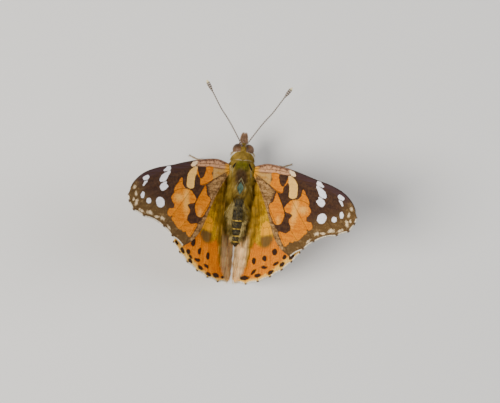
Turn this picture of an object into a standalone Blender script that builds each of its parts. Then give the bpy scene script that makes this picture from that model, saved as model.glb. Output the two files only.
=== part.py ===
"""Painted lady butterfly, life size, standing with its wings raised in a shallow V.

Lengths are written in millimetres and scaled to metres when a mesh is made.
The body frame has its origin inside the thorax: +X is the animal's left, -Y is
forward and +Z is up its back.  The finished body is pitched head-up and stood on
the soles of its four walking legs, with the origin below the middle of its box.
"""

import math

import bmesh
import bpy
import numpy as np
from mathutils import Matrix, Vector
from mathutils.geometry import delaunay_2d_cdt

MM = 0.001

# Stance
PITCH = math.radians(6.0)
BODY_HEIGHT = 8.6
GAP = 0.3

# Body lengths along Y
THORAX_FRONT = -2.35
THORAX_REAR = 5.7
THORAX_MIDDLE = 1.2
THORAX_REACH = 4.9
THORAX_HALF_WIDTH = 2.7
THORAX_HALF_HEIGHT = 2.95
THORAX_POWER = 2.6
ABDOMEN_LENGTH = 10.0
ABDOMEN_RADIUS = 1.8
ABDOMEN_SEGMENTS = 8
HEAD_REAR = -2.65
HEAD_FRONT = -5.75
HEAD_MIDDLE = -4.0
HEAD_REACH = 1.95
HEAD_HALF_WIDTH = 0.76
HEAD_HALF_HEIGHT = 1.45
EYE_CENTRE = (1.05, -4.2, 0.1)
EYE_RADII = (1.2, 1.25, 1.35)

# Mouthparts and antennae
COIL_RADIUS = 0.85
COIL_INNER_RADIUS = 0.22
COIL_TURNS = 1.7
COIL_Y = -4.75
COIL_Z = -2.95
TONGUE_RADII = (0.16, 0.09)
PALP_RADII = (0.3, 0.36, 0.34, 0.16)
STALK_RADIUS = 0.25

# Legs: each socket's place along the thorax and its angle below the side, then the
# knee, ankle and toe of the standing legs, left side, measured from the floor
BREAST_ANGLE = math.radians(62)
SOCKET_CLEARANCE = 0.34
FORELEG_Y = -0.9
FORELEG_RADII = (0.28, 0.38, 0.3, 0.16)
WALKING_LEGS = {
    "midleg": {"root": (0.7, BREAST_ANGLE), "knee": (5.5, -0.9, 7.4),
               "ankle": (8.1, -1.9, 3.3), "toe": (10.9, -3.0), "reach": 1.7},
    "hindleg": {"root": (3.3, math.radians(68)), "knee": (4.9, 7.3, 5.6),
                "ankle": (6.7, 11.4, 2.6), "toe": (7.9, 15.3), "reach": 1.9},
}
FEMUR_RADII = (0.25, 0.44, 0.46, 0.4, 0.22)
TIBIA_RADII = (0.22, 0.34, 0.36, 0.32, 0.25)
TARSUS_RADIUS = 0.26
KNEE_INSET = 0.36

# Points in one ring of each round form
THORAX_SIDES = 28
BODY_SIDES = 22
HEAD_SIDES = 20
LEG_SIDES = 10
STALK_SIDES = 8

# Wings: membrane thickness and the raised veins on both of its faces
MEMBRANE = 0.5
VEIN_HEIGHT = 0.13
VEIN_HALF_WIDTH = 0.3
VEIN_STEP = 1.15
EDGE_STEP = 1.0
FILL_STEP = 1.75
SCALLOP = 0.075
HINGE_X = 2.75
FOREWING_HINGE_Z = 1.9
HINDWING_HINGE_Z = -0.6


def clear_scene():
    for old in list(bpy.data.objects):
        bpy.data.objects.remove(old, do_unlink=True)


def material(name, colour, roughness, metallic=0.0):
    made = bpy.data.materials.new(name)
    made.use_nodes = True
    shader = made.node_tree.nodes["Principled BSDF"]
    shader.inputs["Base Color"].default_value = (*colour, 1.0)
    shader.inputs["Roughness"].default_value = roughness
    shader.inputs["Metallic"].default_value = metallic
    return made


def smooth(t):
    """0 below 0, 1 above 1, with a smooth rise between."""
    t = np.clip(t, 0.0, 1.0)
    return t * t * (3.0 - 2.0 * t)


def curve_through(points, step):
    """Points about one step apart on a Catmull-Rom curve through the given ones."""
    p = np.array(points, float)
    p = np.vstack([2 * p[0] - p[1], p, 2 * p[-1] - p[-2]])
    out = []
    for a, b, c, d in zip(p[:-3], p[1:-2], p[2:-1], p[3:]):
        count = max(1, round(float(np.linalg.norm(c - b)) / step))
        for t in np.arange(count) / count:
            out.append(0.5 * (2 * b + (c - a) * t + (2 * a - 5 * b + 4 * c - d) * t ** 2
                              + (3 * b - a - 3 * c + d) * t ** 3))
    out.append(p[-2])
    return np.array(out)


def add_object(name, verts, faces, look, parent):
    mesh = bpy.data.meshes.new(name)
    mesh.from_pydata([tuple(v * MM) for v in np.asarray(verts, float)], [], faces)
    mesh.materials.append(look)
    bm = bmesh.new()
    bm.from_mesh(mesh)
    bmesh.ops.recalc_face_normals(bm, faces=bm.faces[:])
    bm.to_mesh(mesh)
    bm.free()
    made = bpy.data.objects.new(name, mesh)
    MODEL.objects.link(made)
    made.parent = parent
    return made


def loft(rings):
    """Vertices and faces of a closed skin over rings of equal point counts."""
    count = len(rings[0])
    verts = [v for ring in rings for v in ring]
    faces = []
    for k in range(len(rings) - 1):
        for i in range(count):
            j = (i + 1) % count
            faces.append((k * count + i, k * count + j,
                          (k + 1) * count + j, (k + 1) * count + i))
    for k in (0, len(rings) - 1):
        verts.append(np.mean(rings[k], axis=0))
        hub = len(verts) - 1
        for i in range(count):
            faces.append((k * count + i, k * count + (i + 1) % count, hub))
    return verts, faces


def ellipse_ring(y, half_width, half_height, count, centre_z=0.0):
    angle = np.arange(count) * 2 * np.pi / count
    return np.stack([half_width * np.cos(angle), np.full(count, y),
                     centre_z + half_height * np.sin(angle)], axis=1)


def tube(path, radii, sides):
    """A round rod along a path with one radius per point."""
    path = np.array(path, float)
    rings = []
    side = np.array([0.0, 0.0, 1.0])
    for k, centre in enumerate(path):
        along = path[min(k + 1, len(path) - 1)] - path[max(k - 1, 0)]
        along /= np.linalg.norm(along)
        across = np.cross(along, side)
        if np.linalg.norm(across) < 0.2:
            across = np.cross(along, (0.0, 1.0, 0.0))
        across /= np.linalg.norm(across)
        up = np.cross(across, along)
        angle = np.arange(sides) * 2 * np.pi / sides
        rings.append(centre + radii[k] * (np.outer(np.cos(angle), across)
                                          + np.outer(np.sin(angle), up)))
    return loft(rings)


def thorax_profile(y):
    """Half width and half height of the thorax at one place along it."""
    u = abs((y - THORAX_MIDDLE) / THORAX_REACH)
    full = max(1.0 - u ** THORAX_POWER, 0.0) ** (1.0 / THORAX_POWER)
    collar = 1.0 - 0.06 * math.exp(-((y + 1.25) / 0.25) ** 2)
    collar *= 1.0 - 0.1 * float(smooth((-1.5 - y) / 0.9))
    shield = 1.0 - 0.05 * math.exp(-((y - 2.9) / 0.35) ** 2)
    return THORAX_HALF_WIDTH * full * collar, THORAX_HALF_HEIGHT * full * collar * shield


def abdomen_start():
    return THORAX_REAR + GAP


def abdomen_profile(y):
    """Radius of the abdomen: a waist, its fullest third, a taper and its rings."""
    u = (y - abdomen_start()) / ABDOMEN_LENGTH
    body = 0.74 + 0.26 * math.sin(math.pi * min(u / 0.66, 1.0))
    if u > 0.33:
        body = 1.0 - 0.62 * ((u - 0.33) / 0.67) ** 1.8
    ring = (u * ABDOMEN_SEGMENTS) % 1.0
    return ABDOMEN_RADIUS * body * (1.0 - 0.05 * math.exp(-(min(ring, 1.0 - ring) / 0.14) ** 2))


def outside_body(x, y, z):
    """Roughly how far a point lies outside the thorax and the abdomen."""
    clear = 99.0
    if THORAX_FRONT - 1.0 < y < THORAX_REAR + 0.6:
        inside = min(max(y, THORAX_FRONT), THORAX_REAR)
        width, height = thorax_profile(inside)
        clear = min(clear, (math.hypot(x / width, z / height) - 1.0) * min(width, height))
    if abdomen_start() - 0.6 < y < abdomen_start() + ABDOMEN_LENGTH:
        radius = abdomen_profile(max(y, abdomen_start()))
        clear = min(clear, math.hypot(x, z) - radius)
    return clear


class Sheet:
    """A wing's middle surface: flat along Y, bent across it from a hinge line."""

    def __init__(self, hinge_z, slope):
        self.s = np.linspace(-8.0, 32.0, 2001)
        self.angle = slope(self.s)
        step = self.s[1] - self.s[0]
        x = np.cumsum(np.cos(self.angle)) * step
        z = np.cumsum(np.sin(self.angle)) * step
        start = int(np.argmin(abs(self.s)))
        self.x = x - x[start] + HINGE_X
        self.z = z - z[start] + hinge_z

    def point(self, s, t, rise=0.0):
        """World-like body point at s outward and t forward, raised off the sheet."""
        angle = np.interp(s, self.s, self.angle)
        return np.array([np.interp(s, self.s, self.x) - rise * math.sin(angle), -t,
                         np.interp(s, self.s, self.z) + rise * math.cos(angle)])

    def clear_of_body(self, t, start=4.0, stop=-6.0):
        """The innermost s at which the whole thickness clears the body by the gap."""
        half = MEMBRANE / 2 + VEIN_HEIGHT
        for s in np.arange(start, stop, -0.05):
            corners = [self.point(s, t, side * half) for side in (-1, 1)]
            if min(outside_body(*c) for c in corners) < GAP:
                return s + 0.05
        return stop


def forewing_slope(s):
    """Falls from 48 degrees at the hinge to 42 degrees at the tip."""
    return np.radians(48.0 - 6.0 * np.clip(s / 28.0, 0.0, 1.0))


def hindwing_slope(s):
    """Steep beside the abdomen, easing to the forewing's slope farther out."""
    return np.radians(62.0 - 18.0 * smooth((s + 1.0) / 7.0))


FOREWING = Sheet(FOREWING_HINGE_Z, forewing_slope)
HINDWING = Sheet(HINDWING_HINGE_Z, hindwing_slope)

# Vein courses from root to margin: s outward, t forward
FORE_ENDS = {"R5": (28.3, -7.3), "M1": (27.9, -8.7), "M2": (26.6, -10.3),
             "M3": (23.7, -11.3), "CuA1": (17.9, -13.0), "CuA2": (15.3, -14.8),
             "2A": (11.8, -16.65)}
FORE_CELL = {"top": (12.1, -0.85), "upper": (12.7, -1.9), "lower": (12.7, -3.4),
             "corner": (11.2, -5.15), "fork": (7.1, -3.65)}
HIND_ENDS = {"Rs": (15.0, -15.6), "M1": (12.9, -17.7), "M2": (10.5, -19.6),
             "M3": (7.5, -21.3), "CuA1": (4.3, -22.6), "CuA2": (0.4, -23.5),
             "2A": (-4.2, -23.6)}
HIND_CELL = {"Rs": (3.6, -6.3), "M1": (6.3, -8.4), "M2": (6.9, -10.1),
             "M3": (6.2, -11.6), "CuA1": (4.7, -11.5), "CuA2": (3.0, -9.2)}


def forewing_veins():
    cell, ends = FORE_CELL, FORE_ENDS
    return [
        [(0.9, 0.55), (5.8, 0.6), (10.6, 0.25), (12.9, 0.1)],
        [(0.9, -0.1), (6.7, -0.1), cell["top"], (19.7, -2.3), (24.1, -4.3), ends["R5"]],
        [(10.1, -0.5), (16.2, -0.75)],
        [(14.4, -1.25), (20.6, -1.65)],
        [(19.7, -2.3), (24.0, -2.85)],
        [(21.9, -3.25), (26.6, -4.4)],
        [cell["top"], cell["upper"], cell["lower"], cell["corner"]],
        [cell["upper"], (15.9, -3.0), (20.0, -4.5), (23.6, -5.9), ends["M1"]],
        [cell["lower"], (15.5, -4.1), (20.4, -6.3), (23.5, -7.9), ends["M2"]],
        [cell["corner"], (14.3, -5.2), (17.6, -6.6), (20.9, -8.5), ends["M3"]],
        [cell["corner"], (13.7, -8.1), (16.3, -11.0), ends["CuA1"]],
        [cell["fork"], (9.3, -7.0), (11.4, -11.0), ends["CuA2"]],
        [(0.9, -0.7), (4.7, -2.6), cell["fork"], (8.9, -4.25), cell["corner"]],
        [(1.1, -1.0), (3.2, -4.6), (5.8, -8.1), (8.6, -11.9), ends["2A"]],
    ]


def hindwing_veins():
    cell, ends = HIND_CELL, HIND_ENDS
    return [
        [(1.2, -3.0), (4.2, -4.2), (9.0, -8.0), (13.3, -12.7)],
        [(1.0, -3.6), cell["Rs"], (8.2, -9.3), (12.2, -13.1), ends["Rs"]],
        [cell["Rs"], cell["M1"], (9.9, -13.0), ends["M1"]],
        [cell["M1"], cell["M2"], (9.1, -14.9), ends["M2"]],
        [cell["M2"], cell["M3"]],
        [cell["CuA2"], cell["CuA1"], cell["M3"], (7.3, -16.4), ends["M3"]],
        [cell["CuA1"], (4.9, -17.0), ends["CuA1"]],
        [(0.9, -4.2), (1.8, -6.6), cell["CuA2"], (2.3, -15.5), ends["CuA2"]],
        [(0.6, -4.8), (-0.8, -10.2), (-2.7, -17.0), ends["2A"]],
        [(0.1, -5.6), (-2.2, -9.8), (-3.9, -14.6)],
    ]


def scalloped(ends):
    """A margin from vein end to vein end, drawn in between them."""
    out = []
    names = list(ends)
    for a, b in zip(names[:-1], names[1:]):
        start, stop = np.array(ends[a]), np.array(ends[b])
        chord = stop - start
        inward = np.array([chord[1], -chord[0]])
        count = max(2, round(float(np.linalg.norm(chord)) / EDGE_STEP))
        for u in np.arange(count) / count:
            out.append(start + chord * u + inward * SCALLOP * 4 * u * (1 - u) * 0.9)
    out.append(np.array(ends[names[-1]]))
    return out


def forewing_outline():
    root_front = FOREWING.clear_of_body(0.9)
    root_rear = FOREWING.clear_of_body(-0.7)
    costa = curve_through([(root_front, 0.95), (3.9, 1.6), (8.7, 1.1), (13.1, 0.25),
                           (17.2, -0.75), (21.1, -1.6), (24.6, -2.9), (27.1, -4.9),
                           FORE_ENDS["R5"]], EDGE_STEP)
    inner = curve_through([FORE_ENDS["2A"], (9.6, -15.6), (7.4, -13.6), (5.8, -10.8),
                           (4.2, -7.0), (3.1, -4.7), (1.9, -2.4), (root_rear, -0.75)],
                          EDGE_STEP)
    return list(costa[:-1]) + scalloped(FORE_ENDS)[:-1] + list(inner)


def hindwing_outline():
    inner_points = [(-4.85, -22.4), (-5.0, -19.0), (-4.7, -15.0), (-3.6, -11.0),
                    (-1.9, -7.6), (-0.6, -5.6), (0.0, -4.4), (0.3, -3.4), (0.4, -2.4)]
    root = [(max(s, HINDWING.clear_of_body(t)), t) for s, t in inner_points]
    inner = curve_through([HIND_ENDS["2A"]] + root, EDGE_STEP)
    costa = curve_through([root[-1], (4.2, -3.2), (8.2, -5.8), (11.6, -9.0),
                           (14.0, -12.6), HIND_ENDS["Rs"]], EDGE_STEP)
    return list(costa[:-1]) + scalloped(HIND_ENDS)[:-1] + list(inner[:-1])


def distance_to(points, line):
    """Shortest distance from each point to a polyline."""
    best = np.full(len(points), 1e9)
    for a, b in zip(line[:-1], line[1:]):
        along = b - a
        u = np.clip((points - a) @ along / (along @ along), 0.0, 1.0)
        best = np.minimum(best, np.linalg.norm(points - a - np.outer(u, along), axis=1))
    return best


def inside(points, polygon):
    """True where a point lies inside a closed polygon, by crossing count."""
    result = np.zeros(len(points), bool)
    for a, b in zip(polygon, np.roll(polygon, -1, axis=0)):
        spans = (a[1] > points[:, 1]) != (b[1] > points[:, 1])
        rise = b[1] - a[1] if abs(b[1] - a[1]) > 1e-12 else 1e-12
        cross = a[0] + (points[:, 1] - a[1]) / rise * (b[0] - a[0])
        result ^= spans & (points[:, 0] < cross)
    return result


def wing_layout(outline, veins):
    """Flat triangulation of a wing with a crest line and two foot rows per vein."""
    edge = np.array(outline)
    loop = np.vstack([edge, edge[:1]])
    points = list(edge)
    height = [0.0] * len(edge)
    lines = []
    crests = [curve_through(v, VEIN_STEP) for v in veins]
    for crest in crests:
        run = np.linspace(0.0, 1.0, len(crest))
        first = len(points)
        points += list(crest)
        height += list(VEIN_HEIGHT * (1.0 - 0.4 * run))
        lines += [(first + k, first + k + 1) for k in range(len(crest) - 1)]
    feet = []
    for n, crest in enumerate(crests):
        along = np.gradient(crest, axis=0)
        normal = np.stack([-along[:, 1], along[:, 0]], axis=1)
        normal /= np.linalg.norm(normal, axis=1)[:, None]
        for side in (-1, 1):
            row = crest + side * VEIN_HALF_WIDTH * normal
            keep = distance_to(row, loop) > 0.25
            for m, other in enumerate(crests):
                limit = VEIN_HALF_WIDTH * 0.95
                if m != n:
                    keep &= distance_to(row, other) > limit
            feet += list(row[keep])
    spacing = FILL_STEP
    grid = []
    for k, t in enumerate(np.arange(edge[:, 1].min(), edge[:, 1].max(), spacing * 0.87)):
        for s in np.arange(edge[:, 0].min(), edge[:, 0].max(), spacing):
            grid.append((s + spacing * 0.5 * (k % 2), t))
    grid = np.array(grid)
    keep = distance_to(grid, loop) > 0.7
    for crest in crests:
        keep &= distance_to(grid, crest) > 1.0
    extra = np.array(feet + list(grid[keep]))
    extra = extra[inside(extra, edge)]
    thinned = []
    for p in extra:
        if all((p[0] - q[0]) ** 2 + (p[1] - q[1]) ** 2 > 0.04 for q in thinned[-400:]):
            thinned.append(p)
    points += thinned
    height += [0.0] * len(thinned)
    rim = list(range(len(edge)))
    verts, _, tris, origin, _, _ = delaunay_2d_cdt(
        [Vector(p) for p in points], lines, [rim], 1, 1e-3)
    flat = np.array([tuple(v) for v in verts])
    rise = np.array([max([height[i] for i in o], default=0.0) for o in origin])
    return flat, rise, [tuple(t) for t in tris]


def wing_solid(sheet, outline, veins):
    """Both faces of a wing with the same triangles, joined by a rim."""
    flat, rise, tris = wing_layout(outline, veins)
    count = len(flat)
    half = MEMBRANE / 2
    top = [sheet.point(s, t, half + h) for (s, t), h in zip(flat, rise)]
    low = [sheet.point(s, t, -half - h) for (s, t), h in zip(flat, rise)]
    faces = list(tris) + [tuple(count + i for i in reversed(t)) for t in tris]
    uses = {}
    for tri in tris:
        for a, b in zip(tri, tri[1:] + tri[:1]):
            uses[(a, b)] = uses.get((a, b), 0) + 1
    for a, b in list(uses):
        if (b, a) not in uses:
            faces.append((b, a, count + a))
            faces.append((b, count + a, count + b))
    return top + low, faces


def mirrored(verts, faces, side):
    """The same skin on the left (side 1) or, turned over, on the right (side -1)."""
    verts = np.array(verts) * (side, 1.0, 1.0)
    return verts, faces if side > 0 else [tuple(reversed(f)) for f in faces]


def make_wings(body):
    for name, sheet, outline, veins in (
            ("forewing", FOREWING, forewing_outline(), forewing_veins()),
            ("hindwing", HINDWING, hindwing_outline(), hindwing_veins())):
        verts, faces = wing_solid(sheet, outline, veins)
        for label, side in (("left", 1), ("right", -1)):
            add_object(f"{name}_{label}", *mirrored(verts, faces, side), WING, body)


def make_thorax(body):
    stations = np.linspace(THORAX_FRONT, THORAX_REAR, 21)
    rings = [ellipse_ring(y, *thorax_profile(y), THORAX_SIDES) for y in stations]
    add_object("thorax", *loft(rings), HAIR, body)


def make_abdomen(body):
    start = abdomen_start()
    rings = []
    for y in np.linspace(start, start + ABDOMEN_LENGTH * 0.985, 4 * ABDOMEN_SEGMENTS + 1):
        radius = abdomen_profile(y)
        rings.append(ellipse_ring(y, radius, radius, BODY_SIDES))
    radius = abdomen_profile(start + ABDOMEN_LENGTH * 0.985)
    rings.append(ellipse_ring(start + ABDOMEN_LENGTH, radius * 0.6, radius * 0.6, BODY_SIDES))
    add_object("abdomen", *loft(rings), HAIR, body)


def head_profile(y):
    """Half width and half height of the head, narrow between the two eyes."""
    u = (y - HEAD_MIDDLE) / HEAD_REACH
    return (HEAD_HALF_WIDTH * math.sqrt(1.0 - u ** 6),
            HEAD_HALF_HEIGHT * math.sqrt(1.0 - u ** 4))


def make_head(body):
    rings = []
    for y in np.linspace(HEAD_REAR, HEAD_FRONT, 15):
        rings.append(ellipse_ring(y, *head_profile(y), HEAD_SIDES, EYE_CENTRE[2]))
    add_object("head", *loft(rings), HAIR, body)


def make_eye(body):
    """Half an ellipsoid on each side, with its flat inner face against the head."""
    x, y, z = EYE_CENTRE
    rings = []
    for lat in np.linspace(0.0, 0.94, 8) * math.pi / 2:
        ring = ellipse_ring(0.0, EYE_RADII[1] * math.cos(lat), EYE_RADII[2] * math.cos(lat),
                            BODY_SIDES)
        turned = np.stack([np.full(BODY_SIDES, x + EYE_RADII[0] * math.sin(lat)),
                           y + ring[:, 0], z + ring[:, 2]], axis=1)
        rings.append(turned)
    for label, side in (("left", 1), ("right", -1)):
        add_object(f"eye_{label}", *mirrored(*loft(rings), side), EYE, body)


def make_antennae(body):
    """A thin stalk that ends in a long club, rising a little as it runs forward."""
    socket_y = -5.05
    width, height = head_profile(socket_y)
    socket_z = EYE_CENTRE[2] + height + GAP + 0.08
    path = curve_through([(width * 0.62, socket_y, socket_z), (1.4, -6.7, socket_z + 0.15),
                          (3.56, -10.0, 2.0), (5.4, -12.4, 2.15), (7.1, -15.1, 2.4),
                          (8.9, -17.9, 2.8)], 0.62)
    run = np.linspace(0.0, 1.0, len(path))
    radii = STALK_RADIUS + 0.27 * smooth((run - 0.8) / 0.12) - 0.3 * smooth((run - 0.94) / 0.06)
    for label, side in (("left", 1), ("right", -1)):
        add_object(f"antenna_{label}", *mirrored(*tube(path, radii, STALK_SIDES), side), STALK, body)


def make_palps(body):
    """Bristly mouth feelers that curve up in front of the face."""
    path = curve_through([(0.62, -4.6, -1.65), (0.68, -5.9, -1.5), (0.6, -6.8, -0.55),
                          (0.5, -7.5, 0.5)], 0.5)
    radii = np.interp(np.linspace(0, 1, len(path)), [0, 0.3, 0.7, 1], PALP_RADII)
    for label, side in (("left", 1), ("right", -1)):
        add_object(f"palp_{label}", *mirrored(*tube(path, radii, LEG_SIDES), side), HAIR, body)


def make_proboscis(body):
    """The tongue at rest: a flat coil under the face, hanging between the palps."""
    turn = np.linspace(0.0, COIL_TURNS * 2 * math.pi, 40)
    radius = COIL_RADIUS - (COIL_RADIUS - COIL_INNER_RADIUS) * turn / turn[-1]
    coil = np.stack([np.zeros_like(turn), COIL_Y - radius * np.sin(turn),
                     COIL_Z + radius * np.cos(turn)], axis=1)
    stem_top = EYE_CENTRE[2] - HEAD_HALF_HEIGHT - GAP
    stem = [(0.0, COIL_Y + 0.5, stem_top), (0.0, COIL_Y + 0.3, stem_top - 0.3)]
    path = np.vstack([stem, coil])
    radii = np.interp(np.linspace(0, 1, len(path)), [0, 1], TONGUE_RADII)
    add_object("proboscis", *tube(path, radii, STALK_SIDES), HORN, body)


def body_to_stance(point):
    """A body point as it stands: pitched head-up, above the floor, in millimetres."""
    turned = Matrix.Rotation(-PITCH, 3, "X") @ Vector(point)
    return np.array((turned.x, turned.y, turned.z + BODY_HEIGHT))


def thorax_socket(y, angle):
    """A point the gap outside the thorax, at an angle below its side."""
    width, height = thorax_profile(y)
    surface = np.array([width * math.cos(angle), y, -height * math.sin(angle)])
    normal = np.array([math.cos(angle) / width, 0.0, -math.sin(angle) / height])
    return surface + normal / np.linalg.norm(normal) * (GAP + SOCKET_CLEARANCE)


def segment(start, stop, radii, insets):
    """One straight leg segment, with each end drawn in from the joint."""
    start, stop = np.array(start), np.array(stop)
    along = (stop - start) / np.linalg.norm(stop - start)
    first, last = start + along * insets[0], stop - along * insets[1]
    stations = np.linspace(0.0, 1.0, len(radii))
    stations[1], stations[-2] = 0.07, 0.94
    path = [first + (last - first) * u for u in stations]
    return tube(path, radii, LEG_SIDES)


def tarsus(ankle, toe, reach):
    """The five-jointed foot: down from the ankle, then flat along the floor."""
    ankle = np.array(ankle)
    end = np.array([toe[0], toe[1], TARSUS_RADIUS * 0.72])
    back = ankle - end
    back[2] = 0.0
    back /= np.linalg.norm(back)
    heel = end + back * reach
    drop = (heel - ankle) / np.linalg.norm(heel - ankle)
    path = curve_through([ankle + drop * GAP / 2, ankle * 0.4 + heel * 0.6, heel, end], 0.6)
    radii = np.full(len(path), TARSUS_RADIUS)
    return tube(path, radii, STALK_SIDES)


def flatten_sole(made):
    """Cuts the foot off level with the floor and closes the cut with one flat face."""
    bm = bmesh.new()
    bm.from_mesh(made.data)
    everything = bm.verts[:] + bm.edges[:] + bm.faces[:]
    bmesh.ops.bisect_plane(bm, geom=everything, dist=1e-7, plane_co=(0, 0, 0),
                           plane_no=(0, 0, -1), clear_outer=True)
    rim = [e for e in bm.edges if e.is_boundary]
    bmesh.ops.edgeloop_fill(bm, edges=rim)
    bmesh.ops.recalc_face_normals(bm, faces=bm.faces[:])
    bm.to_mesh(made.data)
    bm.free()


def make_walking_legs(stance):
    for name, leg in WALKING_LEGS.items():
        root = body_to_stance(thorax_socket(*leg["root"]))
        for label, side in (("left", 1), ("right", -1)):
            femur = segment(root, leg["knee"], FEMUR_RADII, (0.0, KNEE_INSET))
            add_object(f"{name}_femur_{label}", *mirrored(*femur, side), LEG, stance)
            tibia = segment(leg["knee"], leg["ankle"], TIBIA_RADII, (KNEE_INSET, GAP / 2))
            add_object(f"{name}_tibia_{label}", *mirrored(*tibia, side), LEG, stance)
            foot = tarsus(leg["ankle"], leg["toe"], leg["reach"])
            made = add_object(f"{name}_tarsus_{label}", *mirrored(*foot, side), LEG, stance)
            flatten_sole(made)


def make_forelegs(body):
    """The short brush legs, folded forward against the breast."""
    root = thorax_socket(FORELEG_Y, BREAST_ANGLE)
    path = curve_through([root, root + (0.25, -0.5, -0.75), (1.45, -3.2, -2.8),
                          (1.45, -4.5, -2.45)], 0.6)
    radii = np.interp(np.linspace(0, 1, len(path)), [0, 0.5, 0.9, 1], FORELEG_RADII)
    for label, side in (("left", 1), ("right", -1)):
        add_object(f"foreleg_{label}", *mirrored(*tube(path, radii, STALK_SIDES), side), HAIR, body)


def settle(stance):
    """Moves the whole model so that the origin is below the middle of its box."""
    bpy.context.view_layer.update()
    corners = []
    for made in MODEL.objects:
        if made.type == "MESH":
            corners += [made.matrix_world @ v.co for v in made.data.vertices]
    low = [min(c[i] for c in corners) for i in range(3)]
    high = [max(c[i] for c in corners) for i in range(3)]
    stance.location = (-(low[0] + high[0]) / 2, -(low[1] + high[1]) / 2, -low[2])
    bpy.context.view_layer.update()


clear_scene()
MODEL = bpy.data.collections.new("painted_lady_butterfly")
bpy.context.scene.collection.children.link(MODEL)
WING = material("wing_scales", (0.75, 0.33, 0.06), 0.75)
HAIR = material("body_hair", (0.28, 0.22, 0.10), 0.9)
EYE = material("compound_eye", (0.20, 0.09, 0.03), 0.25)
STALK = material("antenna_cuticle", (0.16, 0.12, 0.09), 0.55)
LEG = material("leg_scales", (0.55, 0.46, 0.34), 0.7)
HORN = material("tongue_cuticle", (0.10, 0.05, 0.02), 0.4)

STANCE = bpy.data.objects.new("stance", None)
MODEL.objects.link(STANCE)
BODY = bpy.data.objects.new("body_pitch", None)
MODEL.objects.link(BODY)
BODY.parent = STANCE
BODY.location = (0.0, 0.0, BODY_HEIGHT * MM)
BODY.rotation_euler = (-PITCH, 0.0, 0.0)

make_thorax(BODY)
make_head(BODY)
make_eye(BODY)
make_antennae(BODY)
make_palps(BODY)
make_proboscis(BODY)
make_abdomen(BODY)
make_wings(BODY)
make_forelegs(BODY)
make_walking_legs(STANCE)
settle(STANCE)
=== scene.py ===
import math

import bpy
import numpy as np
from mathutils import Matrix


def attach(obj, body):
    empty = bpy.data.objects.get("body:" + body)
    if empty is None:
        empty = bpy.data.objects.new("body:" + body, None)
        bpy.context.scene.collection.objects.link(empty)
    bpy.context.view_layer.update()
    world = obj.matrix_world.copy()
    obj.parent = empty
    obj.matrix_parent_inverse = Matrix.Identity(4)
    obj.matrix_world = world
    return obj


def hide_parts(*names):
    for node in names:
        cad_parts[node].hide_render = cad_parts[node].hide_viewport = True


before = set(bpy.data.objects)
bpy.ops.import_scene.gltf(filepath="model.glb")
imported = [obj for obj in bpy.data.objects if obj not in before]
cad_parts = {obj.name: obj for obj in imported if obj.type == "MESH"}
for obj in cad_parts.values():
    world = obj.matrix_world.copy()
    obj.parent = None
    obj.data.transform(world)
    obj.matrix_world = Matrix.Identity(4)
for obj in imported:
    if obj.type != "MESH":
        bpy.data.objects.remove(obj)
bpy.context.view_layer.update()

# The stance. The butterfly stands head-up on its walking legs. Every piece is drawn
# in millimetres along its own body: left wing side +X, tail +Y, back +Z, with the
# zero inside the thorax, and is then set in the frame by the thorax solid's place.
MM = 0.001
PITCH = math.radians(6.0)
TAILWARD = np.array([0.0, math.cos(PITCH), -math.sin(PITCH)])
BACKWARD_UP = np.array([0.0, math.sin(PITCH), math.cos(PITCH)])
THORAX_ENDS = (-2.35, 5.7)


def body_zero():
    """Middle of the thorax solid along and across the body, less the named middle."""
    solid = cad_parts["thorax"].data.vertices
    points = np.empty(len(solid) * 3)
    solid.foreach_get("co", points)
    points = points.reshape(-1, 3)
    along, above = points @ TAILWARD, points @ BACKWARD_UP
    middle = (along.min() + along.max()) / 2 - sum(THORAX_ENDS) / 2 * MM
    return TAILWARD * middle + BACKWARD_UP * (above.min() + above.max()) / 2


ZERO = body_zero()


def turn(vectors):
    """Body directions as world directions: x, tailward and up shares added together."""
    v = np.asarray(vectors, float)
    return (v[..., :1] * np.array([1.0, 0.0, 0.0]) + v[..., 1:2] * TAILWARD
            + v[..., 2:3] * BACKWARD_UP)


def place(points):
    """Body millimetres as world metres."""
    return turn(points) * MM + ZERO



def unit(vectors):
    """Vectors brought to a length of one."""
    return vectors / np.linalg.norm(vectors, axis=-1, keepdims=True)


def linked(name, data):
    """A new object for a mesh, lamp or lens, linked to the scene."""
    made = bpy.data.objects.new(name, data)
    bpy.context.scene.collection.objects.link(made)
    return made


def aimed(made, x, y, z, where):
    """Sets an object at a place with its own three axes along the given ones."""
    axes = np.eye(4)
    axes[:3] = np.stack([x, y, z, where], axis=1)
    made.matrix_world = Matrix(axes.tolist())


# The view: from above and a little behind, square on to the back, with the body
# turned five degrees clockwise in the picture, as a close telephoto lens sees it.
LENS_PIXELS = 2160.0
DISTANCE = 450.0
SIDE_TILT = math.radians(2.3)
ROLL = math.radians(5.0)
BODY_IN_PICTURE = np.array([241.5, 170.0])
PICTURE = np.array([500.0, 403.0])


def make_camera():
    """Aims the lens so that the body's zero falls on its place in the picture."""
    eye = np.array([math.sin(SIDE_TILT), 0.0, math.cos(SIDE_TILT)]) * DISTANCE
    level = np.array([-math.cos(SIDE_TILT), 0.0, math.sin(SIDE_TILT)])
    ahead = np.array([0.0, -1.0, 0.0])
    right = level * math.cos(ROLL) + ahead * math.sin(ROLL)
    up = ahead * math.cos(ROLL) - level * math.sin(ROLL)
    off = PICTURE / 2 - BODY_IN_PICTURE
    gaze = unit(-eye / DISTANCE * LENS_PIXELS + right * off[0] - up * off[1])
    right = unit(right - gaze * (right @ gaze))
    up = np.cross(right, gaze)
    lens = bpy.data.cameras.new("camera")
    lens.sensor_width = 36.0
    lens.lens = LENS_PIXELS / PICTURE[0] * lens.sensor_width
    lens.clip_start, lens.clip_end = 0.01, 10.0
    camera = linked("camera", lens)
    aimed(camera, turn(right), turn(up), turn(-gaze), place(eye))
    bpy.context.scene.camera = camera


make_camera()

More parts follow.
